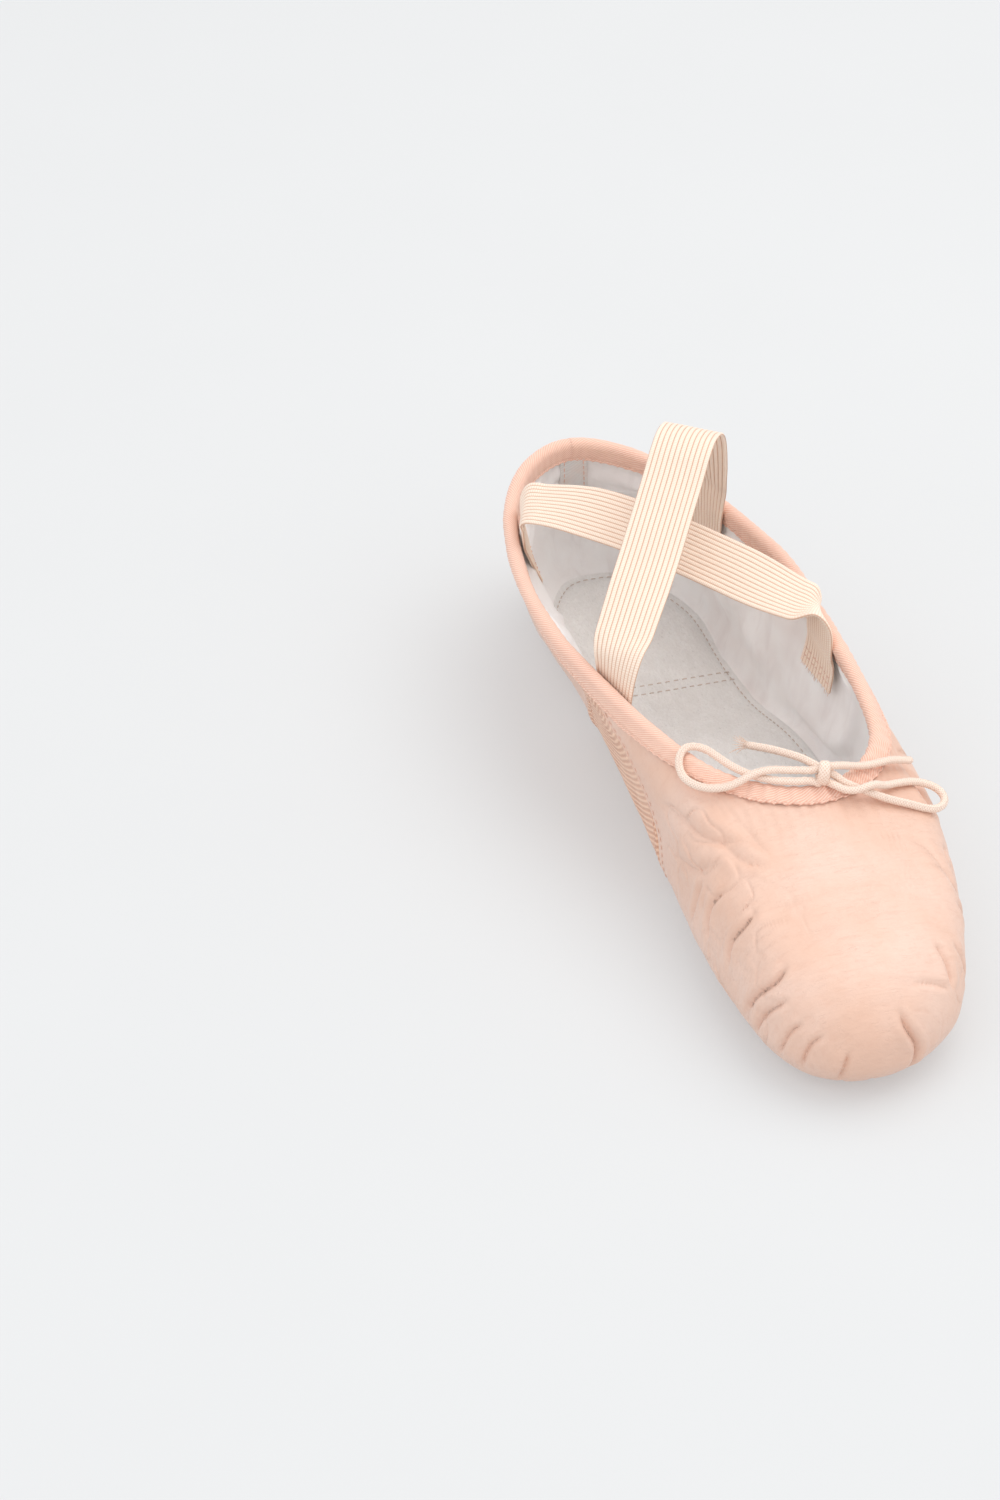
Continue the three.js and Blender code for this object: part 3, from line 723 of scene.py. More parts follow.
CORD_RADIUS = 1.0
CORD_SIDES = 24
CORD_STEP = 0.35
LEFT_EXIT = (51.9, 5.4, 46.2)
LOOP_LEFT = [(49.2, 3.6, 48.9), (48, .9, 48.7), (47.2, -1.9, 48.7), (46.6, -4.7, 49),
             (46.4, -7.6, 49.2), (46.3, -10.5, 48.8), (46.3, -13.1, 47.6), (46, -15.7, 46.2),
             (45.2, -18.2, 45.1), (43.7, -20.7, 44.3), (41.7, -22.7, 43.8), (39.3, -24.3, 43.6),
             (36.5, -25.2, 43.7), (33.8, -25.3, 44.8), (31.7, -24.5, 46.5), (30.2, -22.4, 47.6),
             (30.2, -19.6, 47.4), (31.8, -17.2, 47), (34.3, -15.8, 46.7), (37, -14.7, 46.7),
             (39.7, -13.5, 46.7), (42.2, -12, 46.8), (44.5, -10.1, 46.8), (46.4, -7.9, 46.8),
             (48, -5.5, 46.8), (49.2, -2.8, 46.9), (50.1, -.1, 46.9), (50.7, 2.8, 47)]
TAIL_RIGHT = [(50.1, 8.6, 50), (49.4, 12.3, 48.9), (48.8, 15.9, 47.5), (48.2, 19.6, 46.6),
              (47.3, 23.3, 46), (46.2, 27, 45.3), (45.3, 30.5, 43.9), (44.4, 34, 42.4)]
RIGHT_EXIT = (50.9, 6.6, 46.3)
LOOP_RIGHT = [(53.5, 8.2, 46.7), (55.2, 10.4, 45.9), (56.5, 12.9, 46.2), (56.6, 15.7, 46.9),
              (55.8, 18.4, 46.4), (54.8, 20.7, 44.9), (53.6, 23, 43.6), (52.5, 25.5, 42.7),
              (51.6, 28.2, 41.9), (50.9, 30.9, 41.1), (50.6, 33.6, 40.1), (51.1, 36.3, 39.1),
              (52.8, 38.4, 38.2), (55.5, 38.8, 37.4), (57.8, 37.1, 37.3), (59.1, 34.5, 37.7),
              (59.3, 31.8, 38.6), (59, 29.1, 39.7), (58.5, 26.5, 40.7), (57.8, 23.8, 41.5),
              (57.2, 21.1, 42.5), (56.6, 18.5, 43.7), (55.6, 16, 44.7), (54.3, 13.5, 45.5),
              (52.8, 11.2, 46.3), (51, 9.3, 47.6)]
TAIL_LEFT = [(47.9, 5.6, 49), (44.5, 3.4, 49.2), (41.3, .9, 48.9), (38.1, -1.6, 48.3),
             (35, -3.9, 47.4), (31.8, -6.2, 46.3)]
IN_KNOT = {"left": (49.6, 6.2, 49.5), "right": (49.7, 7.5, 48.4)}
KNOT = {"centre": (50.9, 6.2, 48.8), "axis": (0.35, 0.94, 0), "height": 2.35, "depth": 1.8,
        "spread": 1.9, "turns": 2.2, "start": 2.2, "tuck": 0.35}
BRAID = {"lobes": 4, "lean": 3.6, "depth": 0.07}
FRAY = {"threads": 26, "length": 4.2, "spread": 0.45, "radius": 0.09}


def braided(angle, along):
    """Swell of a cord's surface where its braided strands cross."""
    left = np.cos(BRAID["lobes"] * angle + BRAID["lean"] * along)
    right = np.cos(BRAID["lobes"] * angle - BRAID["lean"] * along)
    return 1 - BRAID["depth"] / 2 + BRAID["depth"] * np.maximum(left, right)


def cord_line(points):
    points = np.array(points, float)
    dense = spline(points, np.linspace(0, 1, 40 * len(points)))
    return smooth_line(evenly(dense, int(lengths(dense)[-1] / CORD_STEP)), 12)


def add_knot():
    axis = unit(np.array(KNOT["axis"]))
    out = np.cross(UP, axis)
    share = np.linspace(0, 1, 150)
    angle = 2 * math.pi * KNOT["turns"] * share + KNOT["start"]
    tuck = 1 - KNOT["tuck"] * (ramp(share, 0.1, 0) + ramp(share, 0.9, 1))
    line = (np.array(KNOT["centre"]) + axis * ((share - 0.5) * KNOT["spread"])[:, None]
            + UP * (KNOT["height"] * np.cos(angle) * tuck)[:, None]
            + out * (KNOT["depth"] * np.sin(angle) * tuck)[:, None])
    knot = cord_piece("bow_wraps", line, CORD_RADIUS, CORD_SIDES, braided)
    return riding(knot, "forefoot", "cord", "bow_knot")


def add_fray(line, name):
    """Loose threads at a cord's cut end."""
    rng = np.random.default_rng(7)
    forward = unit(line[-1] - line[-6])
    _, across, over = line_frames(line)
    parts = []
    for k in range(FRAY["threads"]):
        turn = 2 * math.pi * k / FRAY["threads"] + rng.uniform(-0.3, 0.3)
        out = across[-1] * math.cos(turn) + over[-1] * math.sin(turn)
        inset = CORD_RADIUS * 0.8 * math.sqrt(rng.uniform(0.05, 1))
        length = FRAY["length"] * rng.uniform(0.45, 1)
        start = line[-1] - forward * 0.6 + out * inset
        sway = rng.normal(0, 0.16, 3)
        share = np.linspace(0, 1, 8)[:, None]
        thread = (start + forward * length * share + out * length * FRAY["spread"] * share ** 2
                  + sway * length * share ** 1.5)
        parts.append(tube(thread, FRAY["radius"], 6))
    fray = joined_piece(name, parts, CORD)
    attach(fray, "forefoot")
    return fray


def add_cord(name, points, replaced):
    line = cord_line(points)
    cord = cord_piece(name, line, CORD_RADIUS, CORD_SIDES, braided, 0.7)
    riding(cord, "forefoot", "cord", *replaced)
    return line


def add_bow():
    left = [LEFT_EXIT, *LOOP_LEFT[::-1], IN_KNOT["left"], *TAIL_RIGHT]
    right = [RIGHT_EXIT, *LOOP_RIGHT, IN_KNOT["right"], *TAIL_LEFT]
    knot = add_knot()
    fray = add_fray(cord_line(right), "cord_fray")
    add_cord("bow_cord_left", left, ["bow_loop_left", "bow_tail_right"])
    add_cord("bow_cord_right", right, ["bow_loop_right", "bow_tail_left"])


add_bow()

# ---- folds and wrinkles of the upper ----

# Creases: depth and width in millimetres, then places (v, s) along the line.
CREASES = [
    (1.6, 0.9, [(0.021, 0.43), (0.034, 0.35), (0.055, 0.273), (0.055, 0.212), (0.050, 0.14)]),
    (1.5, 0.9, [(-0.262, 0.17), (-0.236, 0.33), (-0.189, 0.45), (-0.156, 0.53)]),
    (1.2, 0.8, [(-0.237, 0.17), (-0.215, 0.31), (-0.161, 0.43)]),
    (1.2, 0.9, [(-0.291, 0.26), (-0.282, 0.398), (-0.245, 0.532), (-0.198, 0.655)]),
    (1.1, 0.9, [(-0.330, 0.23), (-0.328, 0.345), (-0.314, 0.448), (-0.262, 0.62)]),
    (1.2, 1.9, [(-0.415, 0.54), (-0.343, 0.647), (-0.302, 0.682), (-0.230, 0.787), (-0.170, 0.85)]),
    (0.8, 1.2, [(-0.405, 0.36), (-0.348, 0.47), (-0.285, 0.64)]),
    (0.8, 1.2, [(-0.26, 0.755), (-0.211, 0.755), (-0.145, 0.80)]),
    (0.9, 1.2, [(-0.265, 0.91), (-0.200, 0.90), (-0.180, 0.858), (-0.14, 0.80)]),
    (1.0, 0.9, [(0.118, 0.55), (0.137, 0.453), (0.139, 0.36)]),
    (0.7, 0.8, [(0.045, 0.485), (0.100, 0.43), (0.132, 0.38)]),
    (1.0, 0.7, [(-0.143, 0.16), (-0.130, 0.28), (-0.098, 0.35)]),
    (1.0, 0.7, [(-0.192, 0.16), (-0.171, 0.295), (-0.138, 0.365)]),
    (0.9, 0.7, [(-0.072, 0.15), (-0.060, 0.31)]),
    (0.9, 0.8, [(-0.366, 0.21), (-0.354, 0.352), (-0.325, 0.51)]),
    (0.3, 0.9, [(-0.222, 0.604), (-0.081, 0.742), (0.055, 0.762), (0.161, 0.704)]),
    (0.3, 0.9, [(-0.180, 0.571), (-0.052, 0.667), (0.049, 0.675), (0.129, 0.646)]),
    (0.25, 0.9, [(-0.185, 0.750), (-0.061, 0.825), (0.064, 0.833)]),
    (0.25, 0.8, [(-0.106, 0.571), (-0.030, 0.596), (0.056, 0.592)]),
    (0.8, 0.9, [(0.215, 0.24), (0.200, 0.37), (0.165, 0.50)]),
    (0.8, 0.9, [(0.276, 0.22), (0.262, 0.38), (0.225, 0.53)]),
    (0.9, 1.3, [(0.269, 0.85), (0.279, 0.721), (0.335, 0.412), (0.338, 0.22)]),
    (0.8, 1.8, [(0.354, 0.86), (0.368, 0.696), (0.376, 0.44)]),
    (0.5, 1.2, [(0.149, 0.80), (0.204, 0.688), (0.291, 0.346)]),
    (0.7, 1.4, [(-0.62, 0.80), (-0.66, 0.55), (-0.70, 0.32)]),
    (0.7, 1.5, [(0.60, 0.78), (0.66, 0.52), (0.70, 0.28)]),
    (0.6, 1.2, [(-0.80, 0.78), (-0.86, 0.60), (-0.93, 0.52)]),
    (0.6, 1.2, [(0.82, 0.70), (0.88, 0.58), (0.95, 0.50)]),
    (0.6, 1.0, [(-0.76, 0.62), (-0.79, 0.40), (-0.78, 0.20)]),
    (0.6, 1.0, [(0.76, 0.66), (0.80, 0.42), (0.78, 0.20)]),
]
PLEATS = {"pitch": 6.6, "depth": 0.8, "width": 0.6, "wander": 1.6}
PUCKERS = {"pitch": 3.7, "depth": 0.08}
# The panels end this far under the top of the binding; layers run from outside to inside.
TOP_GAP = 3.4
LEATHER_LAYER = (0.0, 0.9)
LINING_LAYER = (1.15, 1.75)
# Rough length of the flat cloth from the sole to the topline.
CLOTH_RISE = 55


def arc_along(s):
    """Function that gives the distance from the toe, along the upper at height s."""
    v = np.linspace(-1, 1, 901)
    along = lengths(outer_face(v, s))
    return lambda q: np.interp(q, v, along - np.interp(0, v, along))


SOLE_ARC = arc_along(0.1)
TOP_ARC = arc_along(1.0)


def segment_gap(points, a, b):
    """Distance of each point from the segment, and where along it the nearest place is."""
    step = b - a
    t = np.clip((points - a) @ step / (step @ step), 0, 1)
    return np.linalg.norm(points - a - t[..., None] * step, axis=-1), t


def crease_relief(points):
    """Creases: a sharp valley along each line, with a low lip on both sides."""
    total = np.zeros(points.shape[:-1])
    for depth, width, places in CREASES:
        v, s = spline(places, np.linspace(0, 1, 13)).T
        line = outer_face(v, s)
        best = np.full(total.shape, 1e9)
        where = np.zeros(total.shape)
        for k in range(len(line) - 1):
            gap, t = segment_gap(points, line[k], line[k + 1])
            where = np.where(gap < best, (k + t) / (len(line) - 1), where)
            best = np.minimum(best, gap)
        fade = ramp(np.minimum(where, 1 - where), 0, 0.27)
        lip = 0.35 * bump(best, 2.4 * width, 1.5 * width)
        total += depth * fade * (lip - np.exp(-(best / (0.78 * width)) ** 1.3))
    return total


def pleat_relief(v, s):
    """Gathers where the leather is turned under round the toe."""
    arc = SOLE_ARC(v)
    place = together(arc, 0, 0)
    phase = (arc + PLEATS["wander"] * noise(place, 17, 5)) / PLEATS["pitch"] + 0.5
    gap = (0.5 - np.abs(phase - np.floor(phase) - 0.5)) * PLEATS["pitch"]
    reach = 0.13 + 0.07 * noise(place, 6.6, 6)
    weight = ramp(s, reach, reach * 0.25) * ramp(np.abs(v), 0.38, 0.31)
    return weight * PLEATS["depth"] * (0.35 - np.exp(-(gap / PLEATS["width"]) ** 2) * 1.1)


def pucker_relief(points, v, s):
    """Ripples that run down from the gathered binding at the throat."""
    phase = TOP_ARC(v) / PUCKERS["pitch"] + 0.45 * noise(points, 9.0, 8)
    weight = ramp(s, 0.82, 0.93) * ramp(np.abs(v), 0.4, 0.2)
    return PUCKERS["depth"] * weight * np.sin(2 * math.pi * phase)


def relief(points, v, s):
    """How far the upper stands out from its plain shape, in millimetres."""
    near_top = ramp(s, 0.94, 0.8)
    by_bow = 1 - 0.6 * ramp(s, 0.8, 0.9) * ramp(np.abs(v), 0.33, 0.27)
    dents = 0.6 * noise(points, (21, 17, 15), 1) + 0.25 * noise(points, (9, 8, 7), 2)
    ball = ramp(points[..., 0], 40, 60) * ramp(points[..., 0], 114, 100)
    sides = ramp(np.abs(points[..., 1]), 12, 24)
    across = hairlines(points, (3.1, 17, 9), 3, 0.15) * (0.25 + 0.75 * ball)
    ahead = 0.35 + 0.65 * ramp(points[..., 0], -20, 10)
    slanting = hairlines(points, (8, 9, 6.5), 9, 0.1) * (0.3 + 0.7 * sides) * ahead
    fine = 0.05 * noise(points, (2.6, 3.4, 2.8), 4)
    soft = dents + crease_relief(points) - 0.17 * across - 0.4 * slanting + fine
    total = (soft * by_bow + pleat_relief(v, s)) * near_top * ramp(s, -0.01, 0.06)
    return np.clip(total + pucker_relief(points, v, s), -2.1, 1.2)


def hairlines(points, size, seed, width):
    """Narrow lines where a smooth random field changes sign, in patches."""
    warp = 1.5 * noise(points, 8.0, seed + 20)[..., None]
    field = noise(points + warp, size, seed)
    patches = ramp(noise(points, 14.0, seed + 40), -0.25, 0.35)
    return np.exp(-(field / width) ** 2) * patches


def top_share(v):
    """Height s where the panels stop, just under the top of the binding."""
    return 1 - TOP_GAP / top_frame(v)[4]


def edge_distance(grid):
    """Distance of each grid point from the first or last row."""
    along = lengths(grid)
    return np.minimum(along, along[-1] - along)


def turned_edge(distance, lift=0.25):
    """Rounded edge of leather folded over at a seam."""
    return lift * bump(distance, 1.3, 0.9) - 0.6 * np.exp(-(distance / 0.4) ** 2)


def panel_grids(v, s, layer, extra=0.0):
    """Outer and inner grid of a panel of the upper, its relief and places."""
    base = outer_face(v, s)
    normal = face_normal(outer_face, v, s)
    height = relief(base, v, s)
    outer = base + normal * (height - layer[0] + extra)[..., None]
    inner = base + normal * (height - layer[1])[..., None]
    cloth = together(SOLE_ARC(v) * (1 - s) + TOP_ARC(v) * s, CLOTH_RISE * s)
    return outer, inner, cloth


def slab_piece(name, outer, inner, cloth, material, closed=False):
    """Piece between two grids; closed joins its last row to the first."""
    faces = slab_faces(*outer.shape[:2], closed)
    return make_piece(name, np.stack([outer, inner]), faces, material, np.stack([cloth, cloth]))


def panel_places(first, last, rows, columns):
    """Places (v, s) of a panel between two seams given as functions of the share of height."""
    share = np.linspace(0, 1, columns)[None, :]
    t = np.linspace(0, 1, rows)[:, None]
    v = first(share) + (last(share) - first(share)) * t
    return v, share * top_share(v)


SEAM_STITCH = {"length": 1.6, "pitch": 2.4, "radius": 0.16, "lift": 0.12}


def seam_stitches(outer, row):
    """Stitches along one row of a panel's grid."""
    normals = grid_normals(outer)
    if np.sum(normals[row] * (outer[row] - outer.mean((0, 1)))) < 0:
        normals = -normals
    return stitch_row(outer[row], normals[row], **SEAM_STITCH)


def stitched_panel(name, first, last, rows, columns, seams, lift=0.25):
    """Leather panel and its stitches; seams lists the rows that are stitched."""
    v, s = panel_places(first, last, rows, columns)
    edge = edge_distance(outer_face(v, s))
    outer, inner, cloth = panel_grids(v, s, LEATHER_LAYER, turned_edge(edge, lift))
    piece = slab_piece(name, outer, inner, cloth, LEATHER)
    return piece, joined_piece(f"{name}_stitches", [seam_stitches(outer, row) for row in seams])


def add_vamp():
    vamp, sewn = stitched_panel("vamp_leather", lambda h: -FRONT_SEAM + SEAM_GAP + 0 * h,
                                lambda h: FRONT_SEAM - SEAM_GAP + 0 * h, 430, 120, (4, -5))
    bending(vamp, "leather", "vamp")
    bending(sewn, "leather")


def add_quarter(side, name):
    piece, sewn = stitched_panel(f"quarter_{name}_leather", lambda h: side * (rear_seam(h) + SEAM_GAP),
                                 lambda h: side * (1 - BACK_GAP) + 0 * h, 170, 80, (3, -4), 0.3)
    riding(piece, "heel", "leather", f"quarter_{name}")
    riding(sewn, "heel", "leather")


# Share of the arch panel's width that runs on above each sole patch.
ARCH_TUCK = {"front": 0.07, "rear": 0.11}
ARCH_THICKNESS = 0.8
ARCH_COLUMN = 0.75


def arch_places(rows, columns):
    """Points and normals of the arch panel, up one wall, under the foot and up the other."""
    a = np.linspace(0, 1, rows)[:, None]
    b = np.linspace(0, 1, columns)[None, :]

    def face(a, b):
        a, b = np.broadcast_arrays(a, b)
        across = 2 * b - 1
        height = np.clip((np.abs(across) - UNDER_SHARE) / (1 - UNDER_SHARE), 0, 1)
        tuck = ARCH_TUCK["rear"] * ramp(a, 0.8, 1) - ARCH_TUCK["front"] * ramp(a, 0.2, 0)
        a = a + tuck * ramp(np.abs(across), UNDER_SHARE, 0.6 * UNDER_SHARE)

        def seam(h):
            return FRONT_SEAM - SEAM_TUCK + (rear_seam(h) - FRONT_SEAM + 2 * SEAM_TUCK) * a
        v = np.sign(across) * seam(height)
        wall = outer_face(v, height * top_share(v))
        left, right = outer_face(-seam(0), 0 * a), outer_face(seam(0), 0 * a)
        under = left + (right - left) * (0.5 + 0.5 * across / UNDER_SHARE)[..., None]
        return np.where((np.abs(across) > UNDER_SHARE)[..., None], wall, under)
    return face(a, b), face_normal(face, a, b)


def add_arch_panel():
    base, normal = arch_places(90, 240)
    edge = edge_distance(base)
    height = 0.35 * noise(base, (13, 15, 12), 1) + 0.1 * noise(base, (4, 5, 5), 4)
    height = height - 0.25 + 0.35 * bump(edge, 1.5, 1.0) - 0.5 * np.exp(-(edge / 0.4) ** 2)
    outer = base + normal * height[..., None]
    inner = outer - normal * ARCH_THICKNESS
    columns = np.arange(base.shape[1]) * ARCH_COLUMN
    cloth = together(lengths(base[:, 0])[:, None], columns[None, :])
    panel = slab_piece("arch_stretch", outer, inner, cloth, STRETCH)
    bending(panel, "stretch_panel", "arch_panel")
    sewn = joined_piece("arch_stitches", [seam_stitches(outer, row) for row in (5, -6)])
    bending(sewn, "stretch_panel")


add_vamp()
add_quarter(1, "left")
add_quarter(-1, "right")
add_arch_panel()

# ---- lining ----

LINING_FOLDS = {"pitch": 19.0, "depth": 2.1, "lean": 0.62, "rise": 44, "wander": 0.7}


def lining_folds(points, v, s):
    """Soft slanting folds on the inside of the side walls."""
    arc = TOP_ARC(v)
    phase = (arc * LINING_FOLDS["lean"] + LINING_FOLDS["rise"] * s) / LINING_FOLDS["pitch"]
    phase = phase + LINING_FOLDS["wander"] * noise(points, 24, 11)
    wave = (0.5 + 0.5 * np.sin(2 * math.pi * phase)) ** 1.6
    sides = ramp(np.abs(v), 0.3, 0.42) * ramp(np.abs(v), 0.97, 0.88)
    level = ramp(s, 0.12, 0.35) * ramp(s, 0.9, 0.78)
    return LINING_FOLDS["depth"] * wave * level * (0.25 + 0.75 * sides)


def add_lining():
    v = np.linspace(-1, 1, 760, endpoint=False)[:, None]
    s = np.linspace(0, 1, 84)[None, :] * top_share(v)
    v, s = np.broadcast_arrays(v, s)
    base = outer_face(v, s)
    outer, inner, cloth = panel_grids(v, s, LINING_LAYER)
    normal = face_normal(outer_face, v, s)
    folds = lining_folds(base, v, s) + 0.12 * np.abs(noise(base, (5, 5, 7), 12))
    inner = inner - normal * folds[..., None]
    lining = slab_piece("cotton_lining", outer, inner, cloth, LINING, closed=True)
    bending(lining, "lining", "vamp_lining", "quarter_lining_left", "quarter_lining_right",
            "arch_lining")


add_lining()

# ---- binding ----

# Profile: a runs outwards from the leather, b upwards from the topline.
CASING = {"middle": (-0.9, -0.95), "half_width": 2.0, "half_height": 2.15}
LEAF = {"outer": 0.95, "inner": -2.75, "bottom": -5.2, "top": -2.3, "thickness": 0.6}
RING_STATIONS = 1260
LEAF_ROWS = 11
LEAF_STITCH = -4.3


def binding_profile():
    """Outer path up the outside, over the casing and down the inside, with its shell normals."""
    angle = np.linspace(math.pi * 0.02, math.pi * 0.98, 17)
    casing = np.stack([CASING["middle"][0] + CASING["half_width"] * np.cos(angle),
                       CASING["middle"][1] + CASING["half_height"] * np.sin(angle)], -1)
    drop = np.linspace(LEAF["bottom"], LEAF["top"], LEAF_ROWS)
    outside = together(LEAF["outer"], drop)
    inside = together(LEAF["inner"], drop[::-1])
    path = np.concatenate([outside, casing, inside])
    tangent = unit(np.gradient(path, axis=0))
    return path, np.stack([tangent[:, 1], -tangent[:, 0]], -1)


def binding_waves(v, arc, b):
    """Gathers of the drawn-in binding: strong at the throat, slight elsewhere."""
    throat = 0.22 + 0.78 * ramp(np.abs(v), 0.34, 0.18) + 0.3 * ramp(v, 0.3, 0.45) * ramp(v, 0.75, 0.6)
    place = together(arc, b, 0)
    phase = arc / 3.3 + 0.5 * noise(place, (8, 30, 1), 21)
    ripple = np.sin(2 * math.pi * phase) + 0.5 * noise(place, (1.9, 5, 1), 22)
    level = 0.45 + 0.55 * ramp(b, LEAF["bottom"], -3.8) * ramp(b, 0.9, -0.8)
    return 0.24 * throat * level * ripple + 0.12 * noise(place, (11, 6, 1), 23)


def add_binding():
    path, outward = binding_profile()
    v = np.linspace(-1, 1, RING_STATIONS, endpoint=False)[:, None]
    arc = TOP_ARC(v)
    a, b = path[None, :, 0], path[None, :, 1]
    waves = binding_waves(v, arc, b)
    lower = ramp(b, -4.2, LEAF["bottom"])
    scallop = 0.35 * np.abs(np.sin(math.pi * arc / 2.6)) + 0.25 * noise(together(arc, 0, 0), 7.0, 24)
    over_lip = 0.12 * bump(b, -4.9, 0.4) - 0.2 * bump(b, LEAF_STITCH, 0.35)
    grow = waves + over_lip
    shell = []
    for depth in (0.0, LEAF["thickness"]):
        place_a = a + outward[None, :, 0] * (grow - depth)
        place_b = b + outward[None, :, 1] * (grow - depth) + scallop * lower
        shell.append(rim(v, place_a, place_b))
    cloth = together(arc, lengths(path)[None, :])
    binding = slab_piece("binding_tape", *shell, cloth, TAPE, closed=True)
    bending(binding, "binding", "binding")
    add_binding_stitches(shell[0], path)


def add_binding_stitches(outer, path):
    """A row of stitches near the lower edge, outside and inside."""
    low = int(np.argmin(np.abs(path[:LEAF_ROWS, 1] - LEAF_STITCH)))
    normals = grid_normals(outer)
    middle = outer.mean((0, 1))
    rows = []
    for column, sign in ((low, 1), (len(path) - 1 - low, -1)):
        normal = normals[:, column]
        facing = np.sum(normal[:, :2] * (outer[:, column, :2] - middle[:2]))
        normal = normal if facing * sign > 0 else -normal
        line = np.concatenate([outer[:, column], outer[:1, column]])
        rows.append(stitch_row(line, np.concatenate([normal, normal[:1]]), 1.7))
    bending(joined_piece("binding_stitches", rows), "binding")


def add_drawstring():
    v = np.linspace(-0.98, 0.98, 500)
    line = rim(v, *CASING["middle"])
    bending(cord_piece("drawstring_inside", line, 0.7, 8), "cord", "drawstring")


add_binding()
add_drawstring()

# ---- elastics ----

STRAP = {"width": 16, "thickness": 1.0, "start_rise": 4.5, "upright": 2.5, "tab_drop": 15,
         "tab_top": 2.5, "tab_depth": 4.05, "twist": 0.3, "stations": 26, "ribs": 12, "relief": 0.3}
STRAP_OVER = {"front": -0.397, "rear": 0.734, "tilt": 0,
              "heights": [(.12, 60), (.3, 68), (.5, 79), (.64, 86.5), (.76, 83), (.87, 70), (.96, 58)]}
STRAP_UNDER = {"front": 0.431, "rear": -0.729, "tilt": 28,
               "heights": [(.12, 54.8), (.3, 57.4), (.5, 59.5), (.7, 60.5), (.88, 59)]}
TAB_STITCH_ROWS = (2.2, 4.0)
STRAP_COLUMNS = 97
STRAP_ROWS = 420


def centripetal(points, count):
    """Centripetal Catmull-Rom curve through the points, resampled evenly."""
    points = np.array(points, float)
    padded = np.concatenate([[2 * points[0] - points[1]], points, [2 * points[-1] - points[-2]]])
    dense = []
    for k in range(len(points) - 1):
        a, b, c, d = padded[k:k + 4]
        ab, bc, cd = np.sqrt(np.linalg.norm(np.diff(padded[k:k + 4], axis=0), axis=1))
        start = ((b - a) / ab - (c - a) / (ab + bc) + (c - b) / bc) * bc
        end = ((c - b) / bc - (d - b) / (bc + cd) + (d - c) / cd) * bc
        t = np.linspace(0, 1, 60, endpoint=False)[:, None]
        dense.append(b + start * t + (3 * (c - b) - 2 * start - end) * t ** 2
                     + (2 * (b - c) + start + end) * t ** 3)
    return evenly(np.concatenate([*dense, points[-1:]]), count)


def wall_direction(v, like):
    """Direction of the topline at v, on the same side as another direction."""
    along = unit(outer_face(v + PROBE, 1) - outer_face(v - PROBE, 1))
    return -along if along @ like < 0 else along


def tab_rows(v, direction, shares):
    """Rows of points down the inside wall, from the tab's lower edge to its top."""
    top = outer_face(v, 1)
    drops = np.linspace(STRAP["tab_drop"], STRAP["tab_top"], 6)[:, None]
    shift = shares[None, :] * STRAP["width"] / 2
    x = top[0] + shift * direction[0] + 0 * drops
    z = top[2] + shift * direction[2] - drops
    place_v, s = wall_place(v, x, z)
    return pushed(place_v, s, STRAP["tab_depth"] + 0 * place_v)


def strap_rows(strap, shares):
    """Rows of points across the band, from one sewn end over the foot to the other."""
    front, rear = (rim(strap[end], -STRAP["tab_depth"], 0) + (0, 0, STRAP["start_rise"])
                   for end in ("front", "rear"))
    upright = np.array([0, 0, STRAP["upright"]])
    between = []
    for share, height in strap["heights"]:
        spot = front + (rear - front) * share
        between.append((spot[0], spot[1], height))
    line = centripetal([front, front + upright, *between, rear + upright, rear], STRAP["stations"] + 1)
    chord = rear - front
    tilt = math.radians(strap["tilt"])
    flat = unit(np.array([-chord[1], chord[0], 0])) * math.cos(tilt) - (0, 0, math.sin(tilt))
    ends = [wall_direction(strap[end], flat) for end in ("front", "rear")]
    tangents = unit(np.gradient(line, axis=0))
    rows = []
    for k, (spot, tangent) in enumerate(zip(line, tangents)):
        share = k / STRAP["stations"]
        twist = np.clip((0.5 - abs(share - 0.5)) / STRAP["twist"], 0, 1)
        eased = twist * twist * (3 - 2 * twist)
        across = ends[0 if share < 0.5 else 1] * (1 - eased) + flat * eased
        across = unit(across - tangent * (across @ tangent))
        rows.append(spot + across * (shares * STRAP["width"] / 2)[:, None])
    start = tab_rows(strap["front"], ends[0], shares)
    finish = tab_rows(strap["rear"], ends[1], shares)[::-1]
    return np.concatenate([start, np.array(rows), finish])


def ribbed(grid, seed):
    """Outer and inner surface of the ribbed band; ribs run lengthwise."""
    normal = grid_normals(grid)
    share = np.linspace(0, 1, grid.shape[1])[None, :]
    rib = np.abs(np.sin(math.pi * STRAP["ribs"] * share)) ** 0.7
    edge = np.exp(-(np.minimum(share, 1 - share) / 0.012) ** 2)
    soft = 0.12 * noise(grid, (7, 7, 7), seed)
    half = STRAP["thickness"] / 2 - STRAP["relief"] * (1 - rib) - 0.25 * edge
    return grid + normal * (half + soft)[..., None], grid - normal * (half - soft)[..., None]


def strap_fringe(grid, rng):
    """Short raw threads along a cut end of the band."""
    parts = []
    outward = unit(grid[0] - grid[4])
    for k in range(2, grid.shape[1] - 2, 2):
        length = rng.uniform(0.6, 1.9)
        share = np.linspace(0, 1, 4)[:, None]
        sway = rng.normal(0, 0.14, 3)
        parts.append(tube(grid[0, k] - outward[k] * 0.4 + (outward[k] + sway * share) * length * share,
                          0.1, 6))
    return parts


